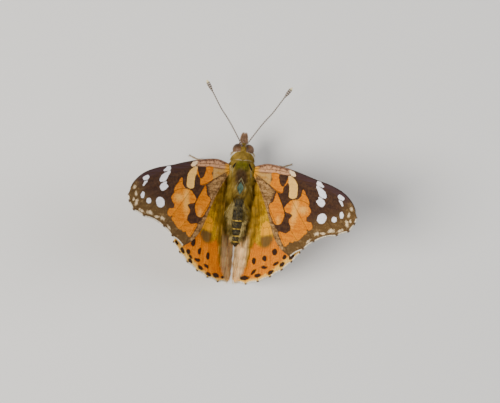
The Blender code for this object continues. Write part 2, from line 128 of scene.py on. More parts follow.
# The studio: a plain pale floor under the soles, a broad soft key light over the
# left wing, a weaker fill from the right and a low even sky.
FLOOR_SIDE = 1.6
LAMP_AIM = np.array([0.0, 0.0, 0.01])


def light(name, where, size, watts, colour):
    """A round soft lamp that faces the middle of the butterfly."""
    lamp = bpy.data.lights.new(name, "AREA")
    lamp.shape = "DISK"
    lamp.size = size
    lamp.energy = watts
    lamp.color = colour
    z = unit(np.array(where) - LAMP_AIM)
    x = unit(np.cross((0.0, 0.0, 1.0), z))
    aimed(linked(name, lamp), x, np.cross(z, x), z, where)


def tint(red, green, blue):
    """A screen colour of 0 to 255 as linear light, by the usual display curve."""
    c = np.array([red, green, blue]) / 255.0
    linear = np.where(c <= 0.04045, c / 12.92, ((c + 0.055) / 1.055) ** 2.4)
    return (*linear.tolist(), 1.0)


def new_look(name):
    """A new material with its node tree and its Principled shader."""
    look = bpy.data.materials.new(name)
    look.use_nodes = True
    return look, look.node_tree, look.node_tree.nodes["Principled BSDF"]


def make_floor():
    """One pale square at the height of the soles."""
    side = FLOOR_SIDE / 2
    mesh = bpy.data.meshes.new("floor")
    mesh.from_pydata([(-side, -side, 0), (side, -side, 0), (side, side, 0), (-side, side, 0)],
                     [], [(0, 1, 2, 3)])
    floor = linked("floor", mesh)
    paint, _, shader = new_look("pale_floor")
    shader.inputs["Base Color"].default_value = tint(233, 231, 227)
    shader.inputs["Roughness"].default_value = 0.85
    mesh.materials.append(paint)


make_floor()
light("key", (0.28, 0.10, 0.45), 0.28, 3.4, (1.0, 0.97, 0.92))
light("fill", (-0.38, -0.12, 0.35), 0.4, 1.5, (0.93, 0.96, 1.0))
sky = bpy.data.worlds.new("sky")
sky.use_nodes = True
sky.node_tree.nodes["Background"].inputs["Color"].default_value = tint(236, 238, 242)
sky.node_tree.nodes["Background"].inputs["Strength"].default_value = 0.28
bpy.context.scene.world = sky

# The wings. Each is one stiff membrane, straight along the body and bent across it,
# held open by hollow veins and covered on both faces by rows of tiny scales.
SIDES = (("left", 1), ("right", -1))
HINGE_X = 2.75
FORE_HINGE_Z = 1.9
HIND_HINGE_Z = -0.6
HALF_MEMBRANE = 0.08


def curve_points(points, count, closed=False):
    """Places evenly spaced by length on a Catmull-Rom curve: between two named points
    it is the cubic that leaves each of them along the line joining its neighbours."""
    p = np.array(points, float)
    if closed:
        ends = np.vstack([p[-1:], p, p[:2]])
    else:
        ends = np.vstack([2 * p[:1] - p[1:2], p, 2 * p[-1:] - p[-2:-1]])
    a, b, c, d = (ends[k:len(ends) - 3 + k, None] for k in range(4))
    t = np.linspace(0.0, 1.0, 24, endpoint=False)[None, :, None]
    cubic = 0.5 * (2 * b + (c - a) * t + (2 * a - 5 * b + 4 * c - d) * t ** 2
                   + (3 * b - a - 3 * c + d) * t ** 3)
    return even(np.vstack([cubic.reshape(-1, p.shape[1]), ends[-2:-1]]), count)


def even(line, count):
    """The same polyline with its points evenly spaced by length."""
    length = np.r_[0.0, np.cumsum(np.linalg.norm(np.diff(line, axis=0), axis=1))]
    at = np.linspace(0.0, length[-1], count)
    return np.stack([np.interp(at, length, line[:, k]) for k in range(line.shape[1])], 1)


def smooth(t):
    """0 below 0, 1 above 1, a cubic ease between."""
    t = np.clip(t, 0.0, 1.0)
    return t * t * (3.0 - 2.0 * t)


def bent_sheet(hinge_z, slope):
    """A surface straight along the body; x and z are the running sums of its slope's
    cosine and sine, and a rise moves a point square off it."""
    s = np.linspace(-8.0, 32.0, 4001)
    angle = slope(s)
    step = s[1] - s[0]
    zero = int(np.argmin(abs(s)))
    x = np.cumsum(np.cos(angle)) * step
    z = np.cumsum(np.sin(angle)) * step
    x += HINGE_X - x[zero]
    z += hinge_z - z[zero]

    def on_sheet(flat, rise=0.0):
        a = np.interp(flat[..., 0], s, angle)
        return np.stack([np.interp(flat[..., 0], s, x) - rise * np.sin(a), -flat[..., 1],
                         np.interp(flat[..., 0], s, z) + rise * np.cos(a)], axis=-1)
    return on_sheet


fore_sheet = bent_sheet(FORE_HINGE_Z, lambda s: np.radians(48 - 6 * np.clip(s / 28, 0, 1)))
hind_sheet = bent_sheet(HIND_HINGE_Z, lambda s: np.radians(62 - 18 * smooth((s + 1) / 7)))

FORE_ENDS = {"R5": (28.3, -7.3), "M1": (27.9, -8.7), "M2": (26.6, -10.3),
             "M3": (23.7, -11.3), "CuA1": (17.9, -13.0), "CuA2": (15.3, -14.8),
             "2A": (11.8, -16.65)}
FORE_COSTA = [(0.1, 0.95), (3.9, 1.6), (8.7, 1.1), (13.1, 0.25), (17.2, -0.75),
              (21.1, -1.6), (24.6, -2.9), (27.1, -4.9), FORE_ENDS["R5"]]
FORE_INNER = [(-0.2, -1.0), (1.3, -2.7), (2.8, -4.9), (4.1, -7.2), (5.8, -10.8),
              (7.4, -13.6), (9.6, -15.6), FORE_ENDS["2A"]]
FORE_CELL = {"top": (12.1, -0.85), "upper": (12.7, -1.9), "lower": (12.7, -3.4),
             "corner": (11.2, -5.15), "fork": (7.1, -3.65)}
FORE_VEINS = {
    "Sc": [(0.2, 0.55), (5.8, 0.6), (10.6, 0.25), (12.9, 0.2)],
    "R": [(0.2, -0.1), (6.7, -0.1), FORE_CELL["top"], (19.7, -2.3), (24.1, -4.3),
          FORE_ENDS["R5"]],
    "R1": [(10.1, -0.5), (16.6, -0.6)],
    "R2": [(14.4, -1.25), (20.8, -1.5)],
    "R3": [(19.7, -2.3), (24.2, -2.75)],
    "R4": [(21.9, -3.25), (26.8, -4.55)],
    "crossvein": [FORE_CELL["top"], FORE_CELL["upper"], FORE_CELL["lower"],
                  FORE_CELL["corner"]],
    "M1": [FORE_CELL["upper"], (15.9, -3.0), (20.0, -4.5), (23.6, -5.9), FORE_ENDS["M1"]],
    "M2": [FORE_CELL["lower"], (15.5, -4.1), (20.4, -6.3), (23.5, -7.9), FORE_ENDS["M2"]],
    "M3": [FORE_CELL["corner"], (14.3, -5.2), (17.6, -6.6), (20.9, -8.5), FORE_ENDS["M3"]],
    "CuA1": [FORE_CELL["corner"], (13.7, -8.1), (16.3, -11.0), FORE_ENDS["CuA1"]],
    "CuA2": [FORE_CELL["fork"], (9.3, -7.0), (11.4, -11.0), FORE_ENDS["CuA2"]],
    "Cu": [(0.2, -0.5), (4.7, -2.6), FORE_CELL["fork"], (8.9, -4.25), FORE_CELL["corner"]],
    "2A": [(0.3, -0.6), (3.2, -4.6), (5.8, -8.1), (8.6, -11.9), FORE_ENDS["2A"]],
}
HIND_ENDS = {"Rs": (15.0, -15.6), "M1": (12.9, -17.7), "M2": (10.5, -19.6),
             "M3": (7.5, -21.3), "CuA1": (4.3, -22.6), "CuA2": (0.4, -23.5),
             "2A": (-4.2, -23.6)}
HIND_COSTA = [(-0.5, -1.4), (4.0, -2.9), (8.2, -5.8), (11.6, -9.0), (14.0, -12.6),
              HIND_ENDS["Rs"]]
HIND_INNER = [(-0.7, -4.4), (-1.1, -5.6), (-2.2, -7.6), (-3.9, -11.0), (-5.0, -15.0),
              (-5.3, -19.0), (-5.1, -22.4), HIND_ENDS["2A"]]
HIND_CELL = {"Rs": (3.6, -6.3), "M1": (6.3, -8.4), "M2": (6.9, -10.1),
             "M3": (6.2, -11.6), "CuA1": (4.7, -11.5), "CuA2": (3.0, -9.2)}
HIND_VEINS = {
    "Sc": [(0.0, -3.0), (4.2, -4.2), (9.0, -8.0), (13.3, -12.7)],
    "Rs": [(0.0, -3.3), HIND_CELL["Rs"], (8.2, -9.3), (12.2, -13.1), HIND_ENDS["Rs"]],
    "M1": [HIND_CELL["Rs"], HIND_CELL["M1"], (9.9, -13.0), HIND_ENDS["M1"]],
    "M2": [HIND_CELL["M1"], HIND_CELL["M2"], (9.1, -14.9), HIND_ENDS["M2"]],
    "crossvein": [HIND_CELL["M2"], HIND_CELL["M3"]],
    "M3": [HIND_CELL["CuA2"], HIND_CELL["CuA1"], HIND_CELL["M3"], (7.3, -16.4),
           HIND_ENDS["M3"]],
    "CuA1": [HIND_CELL["CuA1"], (4.9, -17.0), HIND_ENDS["CuA1"]],
    "CuA2": [(0.0, -3.8), (1.8, -6.6), HIND_CELL["CuA2"], (2.3, -15.5), HIND_ENDS["CuA2"]],
    "2A": [(0.0, -4.1), (-0.8, -10.2), (-2.7, -17.0), HIND_ENDS["2A"]],
    "3A": [(-0.2, -4.3), (-2.2, -9.8), (-3.9, -14.6)],
}
SCALLOP = 0.075


def scalloped(ends, count):
    """A margin from vein end to vein end: each chord with a parabola drawn inward."""
    p = np.array(list(ends.values()))
    chord = np.diff(p, axis=0)[:, None]
    u = np.linspace(0.0, 1.0, 16, endpoint=False)[None, :, None]
    inward = np.stack([chord[..., 1], -chord[..., 0]], axis=-1)
    line = p[:-1, None] + chord * u + inward * SCALLOP * 3.6 * u * (1 - u)
    return even(np.vstack([line.reshape(-1, 2), p[-1:]]), count)


def wing_grid(costa, inner, ends, rows, columns):
    """A wing laid flat: the four edges blended across, less their blended corners."""
    front, rear = curve_points(costa, rows), curve_points(inner, rows)
    root = np.linspace(front[0], rear[0], columns)
    margin = scalloped(ends, columns)
    u = np.linspace(0.0, 1.0, rows)[:, None, None]
    v = np.linspace(0.0, 1.0, columns)[None, :, None]
    corners = ((1 - u) * (1 - v) * front[0] + u * (1 - v) * front[-1]
               + (1 - u) * v * rear[0] + u * v * rear[-1])
    return ((1 - v) * front[:, None] + v * rear[:, None] + (1 - u) * root[None]
            + u * margin[None] - corners)


def away(points, line):
    """Distance from each point to the nearest part of a polyline."""
    flat = points.reshape(-1, 2)
    best = np.full(len(flat), 1e9)
    for a, b in zip(line[:-1], line[1:]):
        along = b - a
        u = np.clip((flat - a) @ along / max(along @ along, 1e-12), 0.0, 1.0)
        best = np.minimum(best, ((flat - a - u[:, None] * along) ** 2).sum(1))
    return np.sqrt(best).reshape(points.shape[:-1])


def within(points, outline, rounded=True):
    """Depth inside a closed outline, less than zero outside, by distance and by how
    often a level line from the point crosses the outline."""
    count = len(outline) * 10
    ring = curve_points(outline, count, True) if rounded else np.array(outline + outline[:1])
    flat = points.reshape(-1, 2)
    odd = np.zeros(len(flat), bool)
    for a, b in zip(ring[:-1], ring[1:]):
        spans = (a[1] > flat[:, 1]) != (b[1] > flat[:, 1])
        rise = b[1] - a[1] if abs(b[1] - a[1]) > 1e-9 else 1e-9
        odd ^= spans & (flat[:, 0] < a[0] + (flat[:, 1] - a[1]) / rise * (b[0] - a[0]))
    return np.where(odd.reshape(points.shape[:-1]), 1.0, -1.0) * away(points, ring)


def spot(points, centre, radii, lean=0.0):
    """Depth inside an ellipse whose long axis leans by an angle."""
    c, s = math.cos(math.radians(lean)), math.sin(math.radians(lean))
    d = points - np.array(centre)
    across, along = d[..., 0] * c + d[..., 1] * s, d[..., 1] * c - d[..., 0] * s
    return (1.0 - np.hypot(across / radii[0], along / radii[1])) * min(radii)


def joined(*fields):
    """Depth inside any of several marks."""
    return np.max(np.stack(fields), axis=0)


def made_mesh(name, points, faces, looks, look_of_face=None, fields=None, bake_map=None):
    """A mesh from world points and faces of four corners (the last repeated on a
    triangle), turned outward by its volume, with named values at its points."""
    faces = np.asarray(faces)
    a, b, c, d = (points[faces[:, k]] for k in range(4))
    volume = np.einsum("ij,ij->i", a, np.cross(b, c)) + np.einsum("ij,ij->i", a, np.cross(c, d))
    if volume.sum() < 0:
        faces = faces[:, ::-1]
    used = np.ones(faces.shape, bool)
    used[:, 3] = faces[:, 3] != faces[:, 2]
    used[:, 0] = faces[:, 0] != faces[:, 1]
    corners = np.ascontiguousarray(faces[used], np.int32)
    starts = np.r_[0, np.cumsum(used.sum(1))[:-1]].astype(np.int32)
    mesh = bpy.data.meshes.new(name)
    mesh.vertices.add(len(points))
    mesh.vertices.foreach_set("co", np.ascontiguousarray(points, np.float32).ravel())
    mesh.loops.add(len(corners))
    mesh.loops.foreach_set("vertex_index", corners)
    mesh.polygons.add(len(faces))
    mesh.polygons.foreach_set("loop_start", starts)
    for look in looks:
        mesh.materials.append(look)
    if look_of_face is not None:
        mesh.polygons.foreach_set("material_index", np.asarray(look_of_face, np.int32))
    mesh.polygons.foreach_set("use_smooth", np.ones(len(faces), bool))
    mesh.update(calc_edges=True)
    for label, values in (fields or {}).items():
        kind = "FLOAT_VECTOR" if values.ndim == 2 else "FLOAT"
        layer = mesh.attributes.new(label, kind, "POINT")
        layer.data.foreach_set("vector" if values.ndim == 2 else "value",
                               np.ascontiguousarray(values, np.float32).ravel())
    if bake_map is not None:
        layer = mesh.uv_layers.new(name="OFBake")
        layer.data.foreach_set("uv", np.ascontiguousarray(bake_map[corners], np.float32).ravel())
    made = linked(name, mesh)
    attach(made, "root")
    return made


def grid_faces(rows, columns, first=0, wrap=False):
    """Quads over a grid of points, row by row; a wrapped grid closes each row."""
    index = first + np.arange(rows * columns).reshape(rows, columns)
    if wrap:
        index = np.concatenate([index, index[:, :1]], axis=1)
    return np.stack([index[:-1, :-1], index[:-1, 1:], index[1:, 1:], index[1:, :-1]],
                    axis=-1).reshape(-1, 4)


# The wings' colours are only their scales. The marks are drawn here as outlines and
# spots on the flat wing, s outward from the hinge and t forward, in millimetres, and
# each point of the wing keeps how deep it lies inside them.
FORE_ORANGE = {
    "cell": [(5.0, -0.1), (6.9, 0.0), (7.2, -1.2), (7.7, -2.3), (8.6, -2.6), (9.4, -1.5),
             (10.0, -0.3), (10.2, -1.0), (9.4, -2.1), (8.6, -2.9), (8.5, -3.9), (7.4, -3.9),
             (5.0, -2.6), (5.3, -1.3)],
    "tooth": [(14.1, -2.9), (15.2, -4.2), (16.1, -5.9), (14.4, -5.9), (13.0, -5.3),
              (13.7, -4.2)],
    "disc": [(9.4, -6.9), (10.4, -5.8), (11.8, -5.1), (13.3, -5.0), (15.0, -5.5), (16.3, -6.5),
             (16.5, -7.4), (15.6, -8.5), (15.7, -9.2), (16.8, -9.4), (17.3, -10.2),
             (16.8, -11.0), (15.9, -10.9), (16.1, -11.5), (15.2, -12.1), (14.5, -12.8),
             (13.8, -13.3), (12.9, -13.4), (12.3, -13.9), (11.6, -13.7), (11.2, -14.4),
             (10.4, -14.8), (9.5, -14.0), (8.4, -12.2), (8.9, -11.9), (10.3, -12.1),
             (11.4, -11.5), (11.6, -10.7), (11.0, -9.8), (11.1, -9.0), (11.7, -8.4),
             (11.2, -8.0), (10.1, -7.8)],
    "lower": [(6.8, -4.0), (7.7, -5.0), (8.9, -6.8), (9.5, -8.2), (9.2, -9.6), (8.4, -10.4),
              (7.2, -10.5), (6.2, -9.4), (5.3, -7.9), (5.1, -6.6), (6.1, -5.9)],
}
FORE_CREAM = {
    "bar": [(9.95, -0.4), (10.9, -0.55), (12.0, -1.4), (12.55, -2.5), (12.6, -4.2),
            (12.2, -4.75), (11.2, -4.95), (10.35, -4.5), (10.3, -3.2), (10.1, -2.2), (9.8, -1.6)],
    "costal": [(9.9, 0.75), (11.3, 0.5), (11.7, -0.3), (10.6, -0.3)],
}
FORE_WHITE = {
    "bar_1": [(18.0, -0.8), (19.5, -1.95), (18.4, -1.95), (17.5, -1.5)],
    "bar_2": [(17.5, -1.95), (18.5, -2.15), (19.9, -3.0), (20.2, -4.2), (18.9, -3.95),
              (18.1, -3.1)],
    "bar_3": [(18.3, -4.1), (19.3, -4.3), (20.1, -5.1), (19.8, -5.8), (19.1, -6.0),
              (17.8, -5.1), (18.35, -4.6)],
    "tip_1": [(23.8, -3.2), (24.9, -3.8), (24.7, -4.3), (23.6, -4.05), (23.3, -3.5)],
    "tip_2": [(23.5, -4.25), (24.5, -4.65), (24.8, -5.5), (24.0, -5.0)],
}
FORE_WHITE_SPOTS = [((19.6, -8.35), (1.25, 1.0), 20), ((22.8, -8.3), (0.64, 0.56), 0),
                    ((24.6, -7.25), (0.5, 0.66), 0)]
FORE_MARGIN_DASHES = [((26.9, -5.9), (0.4, 0.25), -50), ((26.4, -7.1), (0.28, 0.45), 0),
                      ((27.0, -8.3), (0.25, 0.25), 0), ((26.1, -8.9), (0.3, 0.7), 20),
                      ((24.6, -10.4), (0.7, 0.22), 20), ((22.3, -10.6), (0.7, 0.32), 10),
                      ((20.2, -11.3), (0.6, 0.22), 5), ((18.6, -11.5), (0.6, 0.32), 20),
                      ((16.6, -13.2), (0.55, 0.2), 40)]
FORE_TAN = [(-0.5, -0.15), (5.0, -0.15), (4.9, -1.6), (5.3, -2.3), (4.6, -2.5), (2.2, -1.3)]
FORE_GREY = [(0.3, -0.4), (3.0, -1.9), (6.2, -3.7), (5.4, -5.6), (4.9, -6.4), (5.2, -8.2),
             (6.6, -10.4), (8.3, -12.6), (10.0, -15.2), (9.0, -17.5), (2.0, -12.0), (-1.0, -3.0)]


def fore_upper(flat):
    """How deep each point of the forewing's upper face lies in each of its colours."""
    orange = joined(*[within(flat, o) for o in FORE_ORANGE.values()])
    cream = joined(*[within(flat, o) for o in FORE_CREAM.values()])
    white = joined(*[within(flat, o) for o in FORE_WHITE.values()],
                   *[spot(flat, *s) for s in FORE_WHITE_SPOTS])
    glow = joined(spot(flat, (12.2, -7.4), (0.8, 2.6), -8), spot(flat, (14.4, -7.0), (1.1, 0.7)),
                  spot(flat, (7.9, -9.6), (0.3, 0.6)))
    return {"orange": orange, "cream": cream, "white": white, "glow": glow,
            "dash": joined(*[spot(flat, *s) for s in FORE_MARGIN_DASHES]),
            "tan": within(flat, FORE_TAN, False),
            "costal": np.minimum(flat[..., 1] + 0.15, (10.2 - flat[..., 0]) * 0.5),
            "lead": np.minimum(1.2 - away(flat, curve_points(FORE_COSTA, 80)), flat[..., 0] - 12),
            "costal_end": flat[..., 1] + 0.35,
            "front": 0.35 - away(flat, curve_points(FORE_COSTA, 80)),
            "margin": 3.4 - away(flat, scalloped(FORE_ENDS, 90)),
            "root": 1.3 - np.linalg.norm(flat - (0.0, 0.1), axis=-1),
            "grey": within(flat, FORE_GREY, False) * 0.8}


HIND_ORANGE = [(0.9, -14.6), (2.6, -14.8), (3.9, -15.4), (6.0, -15.2), (7.0, -13.9),
               (8.2, -12.6), (10.4, -13.4), (13.0, -15.6), (16.5, -15.0), (16.0, -22.0),
               (6.0, -26.0), (-1.5, -25.5), (-1.2, -21.0), (0.0, -17.5)]
HIND_LIGHT = [(4.2, -11.0), (5.3, -10.2), (6.6, -10.6), (7.3, -12.4), (5.9, -13.1), (4.2, -13.2)]
HIND_BROWN = [(4.2, -13.5), (5.6, -13.1), (7.2, -13.0), (7.5, -14.1), (6.5, -15.3),
              (5.3, -15.6), (4.4, -15.1)]
HIND_SPOTS = {"left": [((10.6, -17.6), (0.6, 0.5), 30), ((9.4, -15.7), (0.68, 0.8), 20),
                       ((7.4, -17.4), (0.5, 0.75), 10), ((4.8, -18.3), (0.55, 0.8), 0)],
              "right": [((11.1, -17.0), (0.6, 0.45), 30), ((8.3, -16.2), (0.7, 0.7), 0),
                        ((5.7, -17.8), (0.62, 0.62), 0), ((2.7, -18.6), (0.6, 0.75), 0)]}
HIND_LOZENGES = {"left": [((9.9, -18.6), (0.8, 0.3), 25), ((7.8, -19.2), (0.9, 0.36), 10),
                          ((5.0, -20.4), (0.8, 0.34), 25)],
                 "right": [((8.9, -18.6), (0.9, 0.34), 25), ((5.8, -19.65), (0.95, 0.34), 5),
                           ((2.8, -20.9), (0.95, 0.36), 35)]}
HIND_EDGE_SPOTS = {"left": [((14.2, -15.9), (0.6, 0.35), 42), ((12.3, -17.4), (0.9, 0.45), 38),
                            ((9.8, -19.5), (0.9, 0.45), 35),
                            ((6.7, -20.8), (0.9, 0.4), 25), ((4.1, -22.1), (1.0, 0.4), 15),
                            ((1.5, -22.3), (1.3, 0.5), 8), ((-2.0, -22.7), (1.4, 0.3), 0)],
                   "right": [((13.0, -16.8), (0.8, 0.5), 38), ((10.6, -18.6), (0.8, 0.45), 38),
                             ((7.7, -20.5), (0.9, 0.42), 28), ((4.2, -21.5), (1.0, 0.42), 12),
                             ((-0.2, -22.4), (1.9, 0.5), 6)]}
HIND_FOLD = [(-6.5, -3.0), (0.2, -3.0), (0.5, -7.0), (0.2, -12.0), (0.1, -15.5), (-0.3, -19.0),
             (-1.4, -22.2), (-2.0, -25.0), (-6.5, -25.0)]


def fold_tan(flat):
    """Depth inside the pale part of the fold beside the abdomen, its rear two thirds."""
    return np.minimum(within(flat, HIND_FOLD, False) * 0.8, (-13.0 - flat[..., 1]) * 0.3)


def under_eyes(flat):
    """The underside's eyespots: a pale halo, a dark ring and a blue-grey pupil."""
    eyes = [((11.4, -15.6), 0.62), ((9.4, -16.6), 0.5), ((7.2, -17.6), 0.48),
            ((5.0, -18.4), 0.62), ((2.8, -19.3), 0.4)]
    return {label: joined(*[spot(flat, c, (r + wider, r + wider)) for c, r in eyes])
            for label, wider in (("halo", 0.2), ("eye", 0.0), ("pupil", -0.26))}


def hind_upper(flat, hand):
    """How deep each point of the hindwing's upper face lies in each of its colours."""
    dark = joined(*[spot(flat, *m) for marks in (HIND_SPOTS, HIND_LOZENGES, HIND_EDGE_SPOTS)
                    for m in marks[hand]])
    edge = away(flat, scalloped(HIND_ENDS, 90))
    return {"orange": within(flat, HIND_ORANGE), "light": within(flat, HIND_LIGHT),
            "brown": within(flat, HIND_BROWN), "dark": dark,
            "tan": fold_tan(flat), "rim": 0.45 + 0.5 * smooth((flat[..., 0] - 8) / 4) - edge,
            "glow": spot(flat, (9.8, -20.3), (6.5, 1.3), 38),
            "fold": within(flat, HIND_FOLD, False), "band": 3.6 - abs(edge - 2.6) * 3.0,
            "line": 0.13 - abs(edge - 1.15), **under_eyes(flat)}


def add(tree, kind, *values, **settings):
    """A shader node whose sockets are linked or set in order, None leaving one alone."""
    made = tree.nodes.new(kind)
    for key, value in settings.items():
        setattr(made, key, value)
    for socket, value in zip(made.inputs, values):
        put(tree, socket, value)
    return made


def put(tree, socket, value):
    """Links a socket to another's output, or sets it to a value."""
    if isinstance(value, bpy.types.NodeSocket):
        tree.links.new(value, socket)
    elif value is not None:
        socket.default_value = value


def sum_up(tree, operation, *values):
    """The result of one Math node."""
    return add(tree, "ShaderNodeMath", *values, operation=operation).outputs[0]


def over(tree, under, colour, mask):
    """One colour laid on another where the mask is 1."""
    mix = tree.nodes.new("ShaderNodeMix")
    mix.data_type = "RGBA"
    put(tree, mix.inputs[0], mask)
    put(tree, mix.inputs[6], under)
    put(tree, mix.inputs[7], colour)
    return mix.outputs[2]


def ramp(tree, value, low, high, bottom=0.0, top=1.0):
    """An eased step from bottom to top as the value goes from low to high."""
    return add(tree, "ShaderNodeMapRange", value, low, high, bottom, top,
               interpolation_type="SMOOTHSTEP").outputs[0]


def field(tree, name):
    """A named number kept at the mesh's points."""
    return add(tree, "ShaderNodeAttribute", attribute_name=name).outputs["Fac"]


def lie(tree):
    """Each point's own place on the flat wing or along the body, in millimetres."""
    return add(tree, "ShaderNodeAttribute", attribute_name="lie").outputs["Vector"]


def noise(tree, where, scale, detail=2.0, **settings):
    """A soft noise of about 0.5 on average, over a place."""
    made = add(tree, "ShaderNodeTexNoise", where, **settings)
    made.inputs["Scale"].default_value = scale
    made.inputs["Detail"].default_value = detail
    return made.outputs[0]


def lightened(tree, colour, value):
    """A colour made lighter or darker by a factor."""
    return add(tree, "ShaderNodeHueSaturation", None, None, value, None, colour).outputs[0]


def bumped(tree, shader, height, strength, distance):
    """Raises the shader's surface by a height, and gives the Bump node."""
    bump = add(tree, "ShaderNodeBump")
    bump.inputs["Strength"].default_value = strength
    bump.inputs["Distance"].default_value = distance
    tree.links.new(height, bump.inputs["Height"])
    tree.links.new(bump.outputs[0], shader.inputs["Normal"])
    return bump


def clouded(tree, one, other, value, low, high):
    """One screen colour going over to another as a value goes from low to high."""
    return over(tree, tint(*one), tint(*other), ramp(tree, value, low, high))


def laid(tree, colour, mark, *coats):
    """Flat colours laid one over another, each a mark's name, its screen colour, how
    far its edge wanders and how soft that edge is."""
    for label, shade, *edge in coats:
        colour = over(tree, colour, tint(*shade), mark(label, *edge))
    return colour


def veined(tree, colour, shade, low, high, strength):
    """A screen colour laid along the veins, fading out between two distances."""
    vein = ramp(tree, field(tree, "vein"), low, high, 1.0, 0.0)
    return over(tree, colour, tint(*shade), sum_up(tree, "MULTIPLY", vein, strength))


def new_group(name, inputs, outputs):
    """An empty shader group with its named sockets, inputs with their first values."""
    group = bpy.data.node_groups.new(name, "ShaderNodeTree")
    kinds = {float: "NodeSocketFloat", tuple: "NodeSocketVector", list: "NodeSocketColor"}
    for label, value in inputs.items():
        made = group.interface.new_socket(name=label, in_out="INPUT", socket_type=kinds[type(value)])
        made.default_value = value
    for label, kind in outputs.items():
        group.interface.new_socket(name=label, in_out="OUTPUT", socket_type=kinds[kind])
    return group, group.nodes.new("NodeGroupInput"), group.nodes.new("NodeGroupOutput")


def use_group(tree, group, **values):
    """A placed group with its named inputs linked or set."""
    made = tree.nodes.new("ShaderNodeGroup")
    made.node_tree = group
    for label, value in values.items():
        put(tree, made.inputs[label], value)
    return made


def make_scale_rows():
    """Overlapping scales a tenth of a millimetre wide: Shade is each scale's own
    tone, Height its crown, Ragged how far a mark's edge wanders over whole scales."""
    group, given, result = new_group("scale_rows", {"Lie": (0.0, 0.0, 0.0)},
                                     {"Shade": float, "Height": float, "Ragged": float})
    cells = add(group, "ShaderNodeVectorMath", given.outputs[0], (7.5, 10.5, 1.0),
                operation="MULTIPLY").outputs[0]
    scales = add(group, "ShaderNodeTexVoronoi", cells, voronoi_dimensions="2D")
    scales.inputs["Scale"].default_value = 1.0
    tone = add(group, "ShaderNodeSeparateColor", scales.outputs["Color"]).outputs[0]
    shade = sum_up(group, "MULTIPLY_ADD", tone, 2.0, -1.0)
    clouds = noise(group, given.outputs[0], 1.7, 3.0, noise_dimensions="2D")
    cloud = sum_up(group, "MULTIPLY_ADD", clouds, 2.4, -1.2)
    ragged = sum_up(group, "MULTIPLY_ADD", shade, 0.45, cloud)
    group.links.new(shade, result.inputs["Shade"])
    group.links.new(sum_up(group, "SUBTRACT", 0.8, scales.outputs["Distance"]),
                    result.inputs["Height"])
    group.links.new(ragged, result.inputs["Ragged"])
    return group


def make_mark_edge():
    """A mark's mask: 1 inside its drawn outline, with an edge that wanders."""
    group, given, result = new_group("mark_edge", {"Depth": 0.0, "Ragged": 0.0, "Wander": 0.12,
                                                   "Blur": 0.06}, {"Mask": float})
    depth = sum_up(group, "MULTIPLY_ADD", given.outputs["Ragged"], given.outputs["Wander"],
                   given.outputs["Depth"])
    low = sum_up(group, "MULTIPLY", given.outputs["Blur"], -1.0)
    group.links.new(ramp(group, depth, low, given.outputs["Blur"]), result.inputs["Mask"])
    return group


SCALE_ROWS = make_scale_rows()
MARK_EDGE = make_mark_edge()


def scaled_look(name, paint, grain):
    """A material of scales. paint(tree, mark, ragged) gives its colour, where
    mark(field name, wander, blur) is the mask of one drawn field; grain stretches
    the cloudy streaks that run along the veins."""
    look, tree, shader = new_look(name)
    rows = use_group(tree, SCALE_ROWS, Lie=lie(tree))

    def mark(label, wander=0.12, blur=0.06):
        return use_group(tree, MARK_EDGE, Depth=field(tree, label), Ragged=rows.outputs["Ragged"],
                         Wander=wander, Blur=blur).outputs["Mask"]

    drawn = add(tree, "ShaderNodeVectorMath", lie(tree), grain, operation="MULTIPLY").outputs[0]
    streak = sum_up(tree, "MULTIPLY_ADD", noise(tree, drawn, 1.0, 4.0, noise_dimensions="2D"),
                    3.0, -1.5)
    mixed = sum_up(tree, "MULTIPLY_ADD", streak, 0.9, rows.outputs["Ragged"])
    colour = paint(tree, mark, mixed)
    value = sum_up(tree, "MULTIPLY_ADD", rows.outputs["Shade"], 0.13, 1.0)
    value = sum_up(tree, "MULTIPLY_ADD", streak, 0.13, value)
    tree.links.new(lightened(tree, colour, value), shader.inputs["Base Color"])
    bumped(tree, shader, rows.outputs["Height"], 0.35, 0.00003)
    tree.links.new(sum_up(tree, "MULTIPLY_ADD", rows.outputs["Shade"], 0.08, 0.62),
                   shader.inputs["Roughness"])
    shader.inputs["Specular IOR Level"].default_value = 0.15
    return look


def fore_upper_paint(tree, mark, ragged):
    """Dark brown, browner at the margin, with the base, the front strip, the orange
    marks, the veins over them, and the cream and white marks on top."""
    dark = clouded(tree, (84, 56, 36), (48, 30, 24), ragged, -0.9, 0.9)
    dark = laid(tree, dark, mark, ("lead", (68, 46, 46), 0.4, 0.6))
    outer = clouded(tree, (98, 72, 38), (132, 104, 66), ragged, 0.2, 1.3)
    colour = over(tree, dark, outer, mark("margin", 0.9, 1.6))
    base = clouded(tree, (106, 76, 40), (178, 138, 88), ragged, -0.8, 0.9)
    colour = over(tree, colour, base, mark("grey", 0.25, 0.25))
    tan = clouded(tree, (208, 162, 92), (170, 120, 50), ragged, -0.6, 0.9)
    colour = over(tree, colour, tan, mark("tan", 0.2, 0.3))
    strip = clouded(tree, (214, 160, 116), (118, 80, 58), ragged, 0.1, 0.9)
    strip = laid(tree, strip, mark, ("front", (92, 60, 46), 0.4, 0.2))
    colour = over(tree, colour, strip, mark("costal", 0.2, 0.15))
    colour = laid(tree, colour, mark, ("root", (226, 156, 34), 0.3, 0.5))
    orange = clouded(tree, (210, 112, 0), (226, 136, 0), ragged, -0.9, 1.0)
    orange = laid(tree, orange, mark, ("glow", (244, 174, 72), 0.25, 0.65))
    colour = over(tree, colour, orange, mark("orange"))
    colour = veined(tree, colour, (66, 40, 18), 0.04, 0.12, 0.6)
    cream = over(tree, tint(250, 194, 100), tint(255, 222, 176), mark("costal_end", 0.2, 0.3))
    colour = over(tree, colour, cream, mark("cream"))
    return laid(tree, colour, mark, ("white", (255, 252, 255), 0.1),
                ("dash", (228, 200, 156), 0.2, 0.15))


